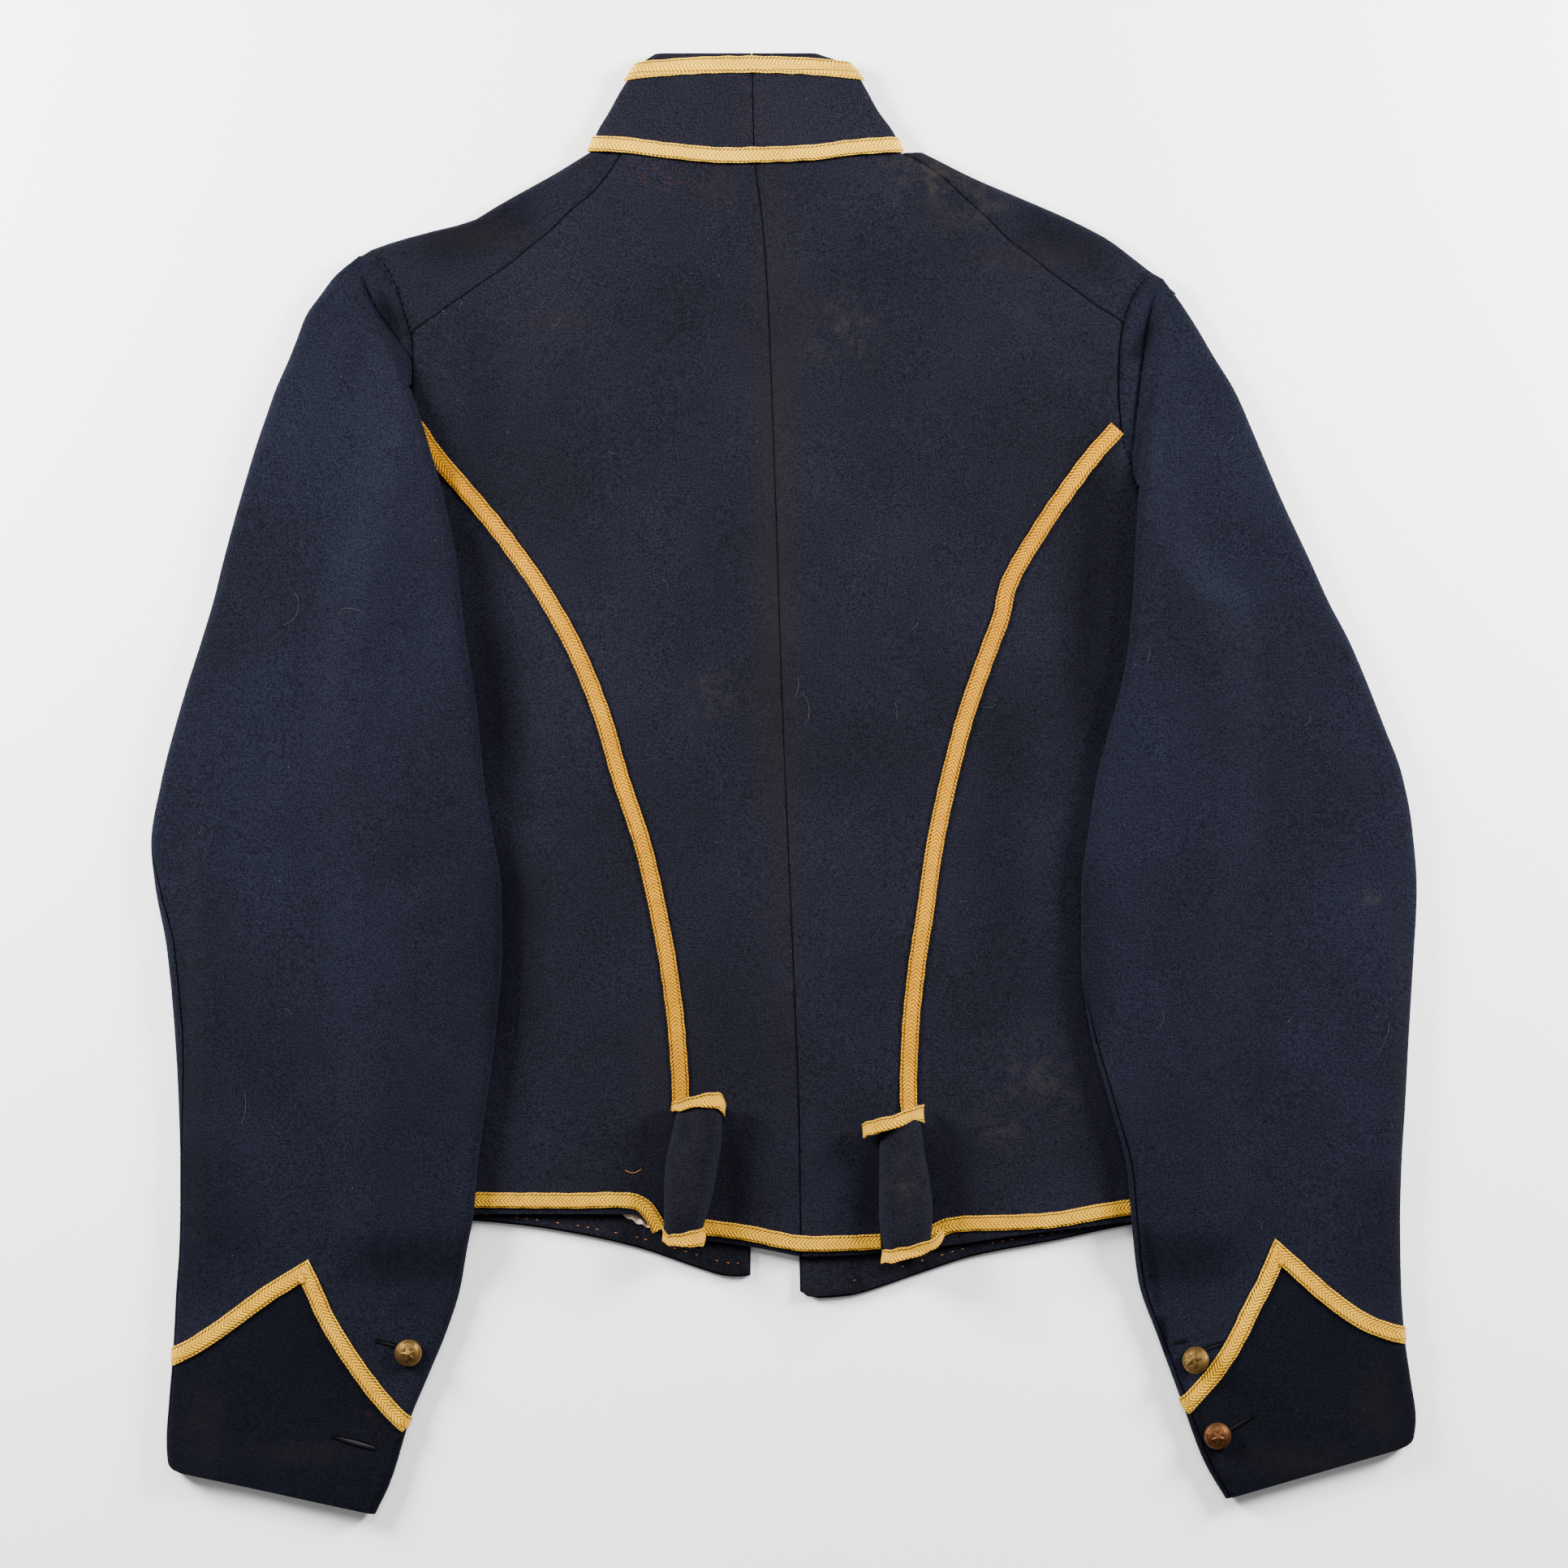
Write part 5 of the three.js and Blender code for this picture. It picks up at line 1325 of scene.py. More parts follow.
    def face(self, x: Number, y: Number) -> Number:
        """The sleeve's upper face, its rounded long edges included.

        Args:
            x: the x of places seen from above.
            y: their y.

        Returns:
            The face's height there.
        """
        out = self.side.sign * np.asarray(x, float)
        outer, fold = self.edges(x, y)
        top = self.top(np.clip(out, fold + EDGE_REACH, outer - EDGE_REACH), y)
        past = np.maximum(np.maximum(out - outer + EDGE_REACH, fold + EDGE_REACH - out), 0) / EDGE_REACH
        base = np.where(out > (outer + fold) / 2, 0, self.support(fold + EDGE_REACH, y))
        middle = (top + base) / 2
        rounded = middle + (top - middle) * np.sqrt(np.maximum(0, 1 - np.minimum(past, 0.99) ** 2))
        return np.where(past > 0, rounded, top)

    def build(self) -> None:
        """Both pieces of the sleeve."""
        side = self.side
        top, under, seams = self.grids()
        for name, grid, rests, seam in (("top", top, f"sleeve_under_{side.name}", seams),
                                        ("under", under, f"back_{side.name}", None)):
            sheet = Sheet(f"sleeve_{name}_{side.name}_cloth", grid, WALL, seam=seam)
            obj = sheet.build(Finish.SLEEVE, "sleeve_cloth", centre=True)
            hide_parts(f"sleeve_{name}_{side.name}")
            sheet.declare(obj)


@dataclass
class Collar:
    """The standing collar, folded flat with its front inside: two halves joined at the back."""

    base_tape_width: float = TAPE_WIDTH - 0.7
    top_tape_width: float = TAPE_WIDTH


    def section(self, side: Side, y: float) -> np.ndarray:
        """A collar half's section: along the lower layer, round the side fold to the back seam.

        Args:
            side: the half's side.
            y: the section's nominal height.

        Returns:
            Its points, from the front edge to the back seam.
        """
        fold = side.sign * float(COLLAR.read("left" if side.sign < 0 else "right", y))
        seam = side.sign * float(COLLAR.read("seam", y)) + 0.15
        front = side.sign * COLLAR_FRONT_X + SEAM_GAP
        middle = COLLAR_HEIGHT / 2
        neck = float(smooth((COLLAR.first + 9 - y) / 9))
        angle = np.linspace(0, math.pi / 2, 10)
        flat = mix(front, fold - EDGE_REACH, np.linspace(0, 1, 26))
        out = np.concatenate([flat, fold - EDGE_REACH + EDGE_REACH * np.sin(angle[1:])])
        z = np.concatenate([np.zeros(26), middle - middle * np.cos(angle[1:])])
        upper = mix(fold - EDGE_REACH, seam, np.linspace(0, 1, 44))[1:]
        top = COLLAR_HEIGHT + 0.16 * BROAD(side.sign * upper, y + 90) - 0.8 * seam_dip(upper - seam)
        top -= 0.35 * np.exp(-(((side.sign * upper - 43) / 4) ** 2)) * math.exp(-(((y - 350) / 9) ** 2))
        out = np.concatenate([out, fold - EDGE_REACH + EDGE_REACH * np.cos(angle[1:]), upper])
        z = np.concatenate([z, middle + middle * np.sin(angle[1:]), top])
        at = y - neck * (NECK_SEAM.read("drop", side.sign * out) - SEAM_GAP - 0.25)
        return np.stack([side.sign * out, at, z], axis=1)

    def tape(self, name: str, low: Callable, high: Callable) -> None:
        """A tape round the back of the collar.

        Args:
            name: its place.
            low: its lower edge, a height for each x.
            high: its upper edge.
        """
        rows = []
        for part in np.linspace(0, 1, 9):
            left = float(COLLAR.read("left", mix(low(-90.0), high(-90.0), part)))
            right = float(COLLAR.read("right", mix(low(50.0), high(50.0), part)))
            middle = COLLAR_HEIGHT / 2
            angle = np.linspace(0.12, math.pi / 2, 10)
            x = np.concatenate([left + EDGE_REACH - EDGE_REACH * np.cos(angle),
                                mix(left + EDGE_REACH, right - EDGE_REACH, np.linspace(0, 1, 110))[1:-1],
                                right - EDGE_REACH + EDGE_REACH * np.cos(angle[::-1])])
            z = np.concatenate([middle + middle * np.sin(angle), np.full(108, COLLAR_HEIGHT),
                                middle + middle * np.sin(angle[::-1])])
            y = mix(low(x), high(x), part)
            inside = (x > left + EDGE_REACH) & (x < right - EDGE_REACH)
            z = z + inside * 0.16 * BROAD(x, y + 90)
            crown = 0.14 * (1 - (2 * part - 1) ** 4) + 0.06 * PUCKER(x * 1.6, y) * abs(2 * part - 1)
            y = y + 0.12 * abs(2 * part - 1) * PUCKER(x, np.full_like(x, 40 * part))
            rows.append(lifted(np.stack([x, y, z], axis=1), TAPE_LIFT + TAPE_THICKNESS + crown))
        grid = np.array(rows).transpose(1, 0, 2)[:, ::-1]
        Ribbon(f"tape_collar_{name}", grid, Finish.COLLAR_TAPE, "tape", "collar_left").build()

    def build(self) -> None:
        """Both halves and both tapes."""
        for side in SIDES:
            heights = np.linspace(COLLAR.first, COLLAR.last, 34)
            rows = np.array([side.ordered(self.section(side, y)) for y in heights])
            near = np.abs(rows[..., 0] - COLLAR.read("seam", rows[..., 1]))
            near = np.where(rows[..., 2] > COLLAR_HEIGHT / 2, near, FAR)
            sheet = Sheet(f"collar_{side.name}_cloth", rows, WALL, seam=near)
            obj = sheet.build(Finish.COLLAR, "navy_cloth", centre=True)
            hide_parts(f"collar_{side.name}")
            sheet.declare(obj)
        half = self.top_tape_width / 2
        self.tape("base", neck_line, lambda x: neck_line(x) + self.base_tape_width)
        self.tape("top", lambda x: top_line(x) - half, lambda x: top_line(x) + half)


def neck_line(x: Number) -> Number:
    """The lower edge of the collar's base tape."""
    return COLLAR.first - NECK_SEAM.read("drop", x) + 0.6


def top_line(x: Number) -> Number:
    """The middle of the collar's top tape."""
    return 367.5 + 3.6 * (1 - ((x + 20) / 60) ** 2)


def lifted(line: np.ndarray, height: Number) -> np.ndarray:
    """A line of points that runs to the right, moved out from its surface.

    Args:
        line: the points.
        height: how far out.

    Returns:
        The moved points.
    """
    step = np.gradient(line, axis=0)
    normal = np.stack([-step[:, 2], np.zeros(len(line)), step[:, 0]], axis=1)
    normal /= np.linalg.norm(normal, axis=1)[:, None]
    return line + normal * np.asarray(height)[..., None]


def spline(line: list, step: float) -> np.ndarray:
    """A smooth line through points seen from above, centripetal as the solids' lines are.

    Args:
        line: the points.
        step: how far apart its own points are.

    Returns:
        The line's points, their z at 0.
    """
    points = np.array(line, float)
    points = np.vstack([2 * points[0] - points[1], points, 2 * points[-1] - points[-2]])
    found = []
    for k in range(1, len(points) - 2):
        p0, p1, p2, p3 = points[k - 1:k + 3]
        t = [0.0]
        for a, b in ((p0, p1), (p1, p2), (p2, p3)):
            t.append(t[-1] + math.sqrt(float(np.linalg.norm(b - a))))
        u = np.linspace(t[1], t[2], 40, endpoint=False)[:, None]
        a1 = (t[1] - u) / (t[1] - t[0]) * p0 + (u - t[0]) / (t[1] - t[0]) * p1
        a2 = (t[2] - u) / (t[2] - t[1]) * p1 + (u - t[1]) / (t[2] - t[1]) * p2
        a3 = (t[3] - u) / (t[3] - t[2]) * p2 + (u - t[2]) / (t[3] - t[2]) * p3
        b1 = (t[2] - u) / (t[2] - t[0]) * a1 + (u - t[0]) / (t[2] - t[0]) * a2
        b2 = (t[3] - u) / (t[3] - t[1]) * a2 + (u - t[1]) / (t[3] - t[1]) * a3
        found.append((t[2] - u) / (t[2] - t[1]) * b1 + (u - t[1]) / (t[2] - t[1]) * b2)
    path = np.vstack([*found, points[-2][None]])
    path = np.hstack([path, np.zeros((len(path), 1))])
    count = max(2, int(path_length(path) / step))
    return walk(path, np.linspace(0, path_length(path), count))


@dataclass
class Ribbon:
    """A tape: its points run along it and from its left edge to its right, on its outer face."""

    name: str
    points: np.ndarray
    finish: Finish
    slot: str
    rests_on: str
    stitched: tuple = (0.12, 0.88)

    def build(self) -> bpy.types.Object:
        """The tape with its rows of edge stitches.

        Returns:
            The finished tape.
        """
        sheet = Sheet(f"{self.name}_cloth", self.points, TAPE_THICKNESS)
        obj = sheet.build(self.finish, self.slot)
        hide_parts(self.name)
        rows = [self.edge(part) for part in self.stitched]
        thread = Stitches(f"{self.name}_stitches", rows, Finish.EDGE_THREAD, 1.35, 2.05, 0.17).build()
        sheet.declare(obj)
        return obj

    def edge(self, part: float) -> np.ndarray:
        """The line of points at a part of the tape's width."""
        at = part * (self.points.shape[1] - 1)
        k = min(int(at), self.points.shape[1] - 2)
        return mix(self.points[:, k], self.points[:, k + 1], at - k)


@dataclass
class Stitches:
    """Rows of small straight stitches, each a short thread that dives at both ends."""

    name: str
    lines: list
    finish: Finish
    length: float
    pitch: float
    radius: float
    slot: str = "tape"
    missed: float = 0.0

    def build(self) -> bpy.types.Object:
        """All the rows as one object.

        Returns:
            The stitches.
        """
        pick = random.Random(self.name)
        verts, faces = [], []
        for line in self.lines:
            whole = path_length(line)
            at = pick.uniform(0, self.pitch)
            while at + self.length < whole:
                if pick.random() >= self.missed:
                    size = self.length * pick.uniform(0.8, 1.15)
                    points = walk(line, np.linspace(at, min(at + size, whole), 4))
                    points[:, :2] += np.array([pick.uniform(-0.08, 0.08), pick.uniform(-0.08, 0.08)])
                    points[:, 2] += np.array([-0.7, 0.45, 0.45, -0.7]) * self.radius
                    add_strand(verts, faces, points, self.radius)
                at += self.pitch * pick.uniform(0.9, 1.12)
        return dress(new_piece(self.name, verts, faces), self.finish, self.slot)


def add_strand(verts: list, faces: list, points: np.ndarray, radius: float, sides: int = 5) -> None:
    """Adds a closed thread to a mesh's lists.

    Args:
        verts: the mesh's vertices.
        faces: its faces.
        points: the thread's middle line.
        radius: its radius.
        sides: how many sides it has.
    """
    base = len(verts)
    along = np.gradient(points, axis=0)
    along /= np.linalg.norm(along, axis=1)[:, None] + 1e-9
    across = np.cross(along, [0.0, 0.0, 1.0])
    size = np.linalg.norm(across, axis=1)[:, None]
    across = np.where(size > 1e-3, across / np.maximum(size, 1e-3), [[1.0, 0.0, 0.0]])
    up = np.cross(across, along)
    for k, point in enumerate(points):
        thick = radius * (0.6 if k in (0, len(points) - 1) else 1.0)
        for j in range(sides):
            turn = math.tau * j / sides
            verts.append((point + thick * (math.cos(turn) * across[k] + math.sin(turn) * up[k])).tolist())
    for k in range(len(points) - 1):
        for j in range(sides):
            a, b = base + k * sides + j, base + k * sides + (j + 1) % sides
            faces.append((a, a + sides, b + sides, b))
    faces.append(tuple(base + j for j in range(sides)))
    last = base + (len(points) - 1) * sides
    faces.append(tuple(last + j for j in reversed(range(sides))))


def ribbon_grid(line: np.ndarray, face: Face, width: float, seed: int,
                across: np.ndarray | None = None) -> np.ndarray:
    """A tape's grid on a face, slightly crowned and puckered at its stitched edges.

    Args:
        line: its middle line, seen from above.
        face: the height of what it lies on, at x and y.
        width: its width.
        seed: shifts its puckers.
        across: its own sideways direction at each point, where it turns a mitred corner.

    Returns:
        The points, a row for each step along and a column for each step across.
    """
    if across is None:
        along = np.gradient(line, axis=0)[:, :2]
        along /= np.linalg.norm(along, axis=1)[:, None]
        across = np.stack([along[:, 1], -along[:, 0]], axis=1)
    at = np.arange(len(line)) * 1.25 + seed * 31.0
    columns = []
    for part in np.linspace(-0.5, 0.5, 11):
        wobble = 0.11 * abs(2 * part) * PUCKER(at, np.full_like(at, part * 25.0))
        x = line[:, 0] + across[:, 0] * (part * width + wobble)
        y = line[:, 1] + across[:, 1] * (part * width + wobble)
        crown = 0.16 * (1 - abs(2 * part) ** 4) + 0.08 * PUCKER(at * 1.3, np.full_like(at, 9 + part * 14.0))
        columns.append(np.stack([x, y, face(x, y) + TAPE_LIFT + TAPE_THICKNESS + crown], axis=1))
    return np.array(columns).transpose(1, 0, 2)


def mitred(line: list, step: float) -> tuple:
    """A line with one sharp corner at its highest point.

    Args:
        line: its points seen from above.
        step: how far apart the new points are.

    Returns:
        The new points and their sideways directions, mitred at the corner.
    """
    peak = max(range(len(line)), key=lambda k: line[k][1])
    legs = [spline(line[:peak + 1], step), spline(line[peak:], step)]
    ways = []
    for leg in legs:
        along = np.gradient(leg, axis=0)[:, :2]
        ways.append(along / np.linalg.norm(along, axis=1)[:, None])
    bisector = ways[0][-1] + ways[1][0]
    bisector /= np.linalg.norm(bisector)
    spread = 1 / max(0.3, float(bisector @ ways[0][-1]))
    ways[0][-1] = bisector
    points = np.vstack([legs[0], legs[1][1:]])
    along = np.vstack([ways[0], ways[1][1:]])
    across = np.stack([along[:, 1], -along[:, 0]], axis=1)
    corner = len(legs[0]) - 1
    across[corner] *= spread
    return points, across


@dataclass
class Tapes:
    """The tapes of the back's seams and hem, and the cuffs' chevrons."""

    sleeves: list
    step: float = 1.25
    hem_width: float = TAPE_WIDTH - 0.7

    def build(self) -> None:
        """Every flat tape."""
        seams = (("left", LEFT_SEAM_TAPE), ("right", RIGHT_SEAM_TAPE))
        for k, (name, line) in enumerate(seams):
            grid = ribbon_grid(spline(line, self.step), face_height, TAPE_WIDTH, k)
            Ribbon(f"tape_seam_{name}", grid, Finish.SEAM_TAPE, "seam_tape", f"back_{name}").build()
        hems = (("left", LEFT_HEM_TAPE), ("centre", CENTRE_HEM_TAPE), ("right", RIGHT_HEM_TAPE))
        for k, (name, line) in enumerate(hems):
            grid = ribbon_grid(spline(line, self.step), face_height, self.hem_width, 3 + k)
            rests = "back_left" if name == "left" else "back_right"
            Ribbon(f"tape_hem_{name}", grid, Finish.TAPE, "tape", rests).build()
        for sleeve, line, seed in zip(self.sleeves, (LEFT_CUFF_TAPE, RIGHT_CUFF_TAPE), (8, 9)):
            points, across = mitred(line, self.step)
            grid = self.wrapped(ribbon_grid(points, sleeve.face, TAPE_WIDTH, seed, across), sleeve)
            Ribbon(f"tape_cuff_{sleeve.side.name}", grid, Finish.TAPE, "tape",
                   f"sleeve_top_{sleeve.side.name}").build()

    def wrapped(self, grid: np.ndarray, sleeve: Sleeve) -> np.ndarray:
        """A cuff tape turned down round the sleeve's long edges where it would pass them.

        Args:
            grid: the tape's points.
            sleeve: the sleeve that it lies on.

        Returns:
            The same grid, its points moved.
        """
        out = sleeve.side.sign * grid[..., 0]
        outer, fold = sleeve.edges(grid[..., 0], grid[..., 1])
        way = np.where(out > (outer + fold) / 2, 1.0, -1.0)
        past = np.maximum(out - outer, fold - out)
        turned = clamp01((past + EDGE_REACH) / EDGE_REACH) ** 2
        over = np.maximum(past, 0)
        grid[..., 0] += sleeve.side.sign * way * (0.8 * turned - over)
        grid[..., 2] = np.maximum(grid[..., 2] - 0.8 * turned - over, 1.2)
        return grid


@dataclass
class BeltRoll:
    """A padded roll on a side-back seam, its ends bound with tape."""

    name: str
    table: Table
    bindings: dict
    columns: int = 34
    inset: float = 0.45
    voxel: float = 1.6
    pressure: float = 4.0
    most_swell: float = 1.2
    frames: int = 20

    def ring(self, y: float, grow: float = 0.0) -> np.ndarray:
        """The roll's arch at a height.

        Args:
            y: the height.
            grow: how far outside the roll it runs.

        Returns:
            Its points in order over the top.
        """
        left, right = float(self.table.read("left", y)), float(self.table.read("right", y))
        high = float(self.table.read("height", y))
        middle, half = (left + right) / 2, (right - left) / 2
        angle = math.pi - np.linspace(0, math.pi, self.columns)
        base = BODY_HEIGHT + SEAM_GAP
        x = middle + half * np.sign(np.cos(angle)) * np.abs(np.cos(angle)) ** 0.8
        rise = np.abs(np.sin(angle)) ** 0.75
        z = base + high * rise
        at = y + 5 * rise + np.zeros_like(x)
        points = np.stack([x, at, z], axis=1)
        return lifted(points, grow) if grow else points

    def pad(self) -> bpy.types.Object:
        """The roll itself, padded by a short cloth simulation under pressure.

        Returns:
            The finished pad.
        """
        rings = []
        for y in np.linspace(self.table.first + 0.4, self.table.last - 0.4, 40):
            ring = lifted(self.ring(float(y)), -self.inset)
            ring[:, 2] = np.maximum(ring[:, 2], BODY_HEIGHT + SEAM_GAP)
            rings.append(ring)
        points = np.array(rings)
        count = points.shape[1]
        faces = []
        for i in range(len(points) - 1):
            for j in range(count):
                a, b = i * count + j, i * count + (j + 1) % count
                faces.append((a, b, b + count, a + count))
        faces.append(tuple(reversed(range(count))))
        faces.append(tuple((len(points) - 1) * count + j for j in range(count)))
        obj = new_piece(f"belt_roll_{self.name}_pad", points.reshape(-1, 3), faces)
        remesh = obj.modifiers.new("voxels", "REMESH")
        remesh.mode = "VOXEL"
        remesh.voxel_size = self.voxel * MM
        apply_modifiers(obj)
        self.swell(obj)
        self.wrinkle(obj)
        smooth_more = obj.modifiers.new("finer", "SUBSURF")
        smooth_more.levels = smooth_more.render_levels = 1
        apply_modifiers(obj)
        colour = np.zeros((len(obj.data.vertices), 4))
        co = np.array([v.co for v in obj.data.vertices]) / MM
        colour[:, 1] = 0.8 * np.exp(-(((co[:, 0] - 64) / 8) ** 2) - ((co[:, 1] + 204) / 10) ** 2)
        colour[:, 0] = 0.25 * smooth((co[:, 2] - 20) / 3)
        colour[:, 3] = 1
        middle = float(self.table.read("left", -200) + self.table.read("right", -200)) / 2
        turn = np.arctan2(co[:, 2] - BODY_HEIGHT, co[:, 0] - middle) * 13
        mark_cloth(obj.data, colour, np.stack([turn, co[:, 1]], axis=1) * MM)
        dress(obj, Finish.NAVY, "navy_cloth")
        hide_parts(f"belt_roll_{self.name}")
        return obj

    def swell(self, obj: bpy.types.Object) -> None:
        """Swells the pad by cloth under pressure.

        Its ends and its foot are held, and no point moves by more than the most that the roll may swell.

        Args:
            obj: the pad.
        """
        start = np.array([v.co for v in obj.data.vertices])
        held = obj.vertex_groups.new(name="held")
        ends = (start[:, 1] < (self.table.first + 5) * MM) | (start[:, 1] > (self.table.last - 1) * MM)
        low = start[:, 2] < (BODY_HEIGHT + SEAM_GAP + 0.8) * MM
        held.add(np.nonzero(ends | low)[0].tolist(), 1.0, "REPLACE")
        cloth = obj.modifiers.new("padding", "CLOTH")
        settings = cloth.settings
        settings.use_pressure = True
        settings.uniform_pressure_force = self.pressure
        settings.vertex_group_mass = "held"
        settings.quality = 6
        settings.effector_weights.gravity = 0
        cloth.collision_settings.use_collision = False
        cloth.point_cache.frame_start, cloth.point_cache.frame_end = 1, self.frames
        scene = bpy.context.scene
        for number in range(1, self.frames + 1):
            scene.frame_set(number)
        apply_modifiers(obj)
        scene.frame_set(1)
        moved = np.array([v.co for v in obj.data.vertices]) - start
        size = np.linalg.norm(moved, axis=1)[:, None]
        kept = start + moved * np.minimum(1, self.most_swell * MM / np.maximum(size, 1e-9))
        obj.data.vertices.foreach_set("co", kept.ravel())
        obj.data.update()

    def wrinkle(self, obj: bpy.types.Object) -> None:
        """Adds the soft lengthwise dents that the sewn roll shows.

        Args:
            obj: the pad.
        """
        co = np.array([v.co for v in obj.data.vertices]) / MM
        x, y, z = co[:, 0], co[:, 1], co[:, 2]
        high = smooth((z - BODY_HEIGHT - 3) / 6)
        dent = sum(crease.height(x, y) for crease in ROLL_CREASES)
        co[:, 2] -= high * (dent + 0.16 * FINE(x * 1.4, y))
        obj.data.vertices.foreach_set("co", (co * MM).ravel())
        obj.data.update()

    def binding(self, place: str) -> None:
        """A tape bound over an end, which follows the arch between its own two outlines.

        Args:
            place: the end, "upper" or "lower".
        """
        outline = self.bindings[place]
        rows = []
        for part in np.linspace(0, 1, 12):
            s = np.linspace(0, 1, 46)
            y = mix(outline.read("low", s), outline.read("high", s), part)
            y = y + 0.25 * PUCKER(s * 55, np.full_like(s, part * 8.0))
            flare = 0.9 * (part if place == "upper" else 1 - part) ** 2
            points = []
            for at, share in zip(y, s):
                height = float(np.clip(at - 5, self.table.first, self.table.last))
                ring = self.ring(height, SEAM_GAP + TAPE_THICKNESS + flare)
                way = mix(outline.read("left", 0), outline.read("right", 0), share)
                point = walk(ring, np.array([path_length(ring) * (0.06 + 0.88 * share)]))[0]
                points.append([point[0] + way, at, point[2]])
            rows.append(points)
        grid = np.array(rows).transpose(1, 0, 2)[:, ::-1]
        Ribbon(f"roll_tape_{self.name}_{place}", grid, Finish.TAPE, "tape", f"belt_roll_{self.name}").build()

    def build(self) -> None:
        """The pad and its two bindings."""
        self.pad()
        self.binding("lower")
        self.binding("upper")


# The bindings' lower and upper outlines at shares of the way over each roll, and how far their left
# and right ends stand out sideways.
BINDINGS = {
    "left": {
        "upper": Table("s low high left right", [
            (0, -168.5, -164.5, 0, 0), (0.25, -167.8, -162.5, 0, 0), (0.5, -165.4, -159.4, 0, 0),
            (0.75, -166.8, -158.2, 0, 0), (1, -171.5, -164.5, 0, 0),
        ]),
        "lower": Table("s low high left right", [
            (0, -234.5, -227.5, 0, 0), (0.25, -236.6, -231.6, 0, 0), (0.5, -237.2, -230.4, 0, 0),
            (0.8, -237.5, -228.6, 0, 0), (1, -232.5, -229, 0, 0),
        ]),
    },
    "right": {
        "upper": Table("s low high left right", [
            (0, -182.5, -175.2, -7, 0), (0.2, -180.6, -173, -7, 0), (0.5, -176.4, -169.4, -7, 0),
            (0.75, -172.6, -166, -7, 0), (1, -174.8, -164.8, -7, 0),
        ]),
        "lower": Table("s low high left right", [
            (0, -246.6, -240, 0, 5), (0.2, -246.2, -239.4, 0, 5), (0.5, -243, -236.8, 0, 5),
            (0.8, -238.6, -232.6, 0, 5), (1, -233.4, -228, 0, 5),
        ]),
    },
}
ROLL_CREASES = [Crease(*row) for row in (
    (-52, -170, -50, -190, 3, 0.9, 0.4), (-45, -175, -42, -228, 4, 0.35, 0.4),
    (-58, -195, -57, -230, 3, 0.3, 0.4), (59, -180, 57, -200, 3, 0.7, 0.4),
    (66, -185, 68, -236, 4, 0.35, 0.4), (54, -200, 53, -236, 3, 0.3, 0.4),
)]


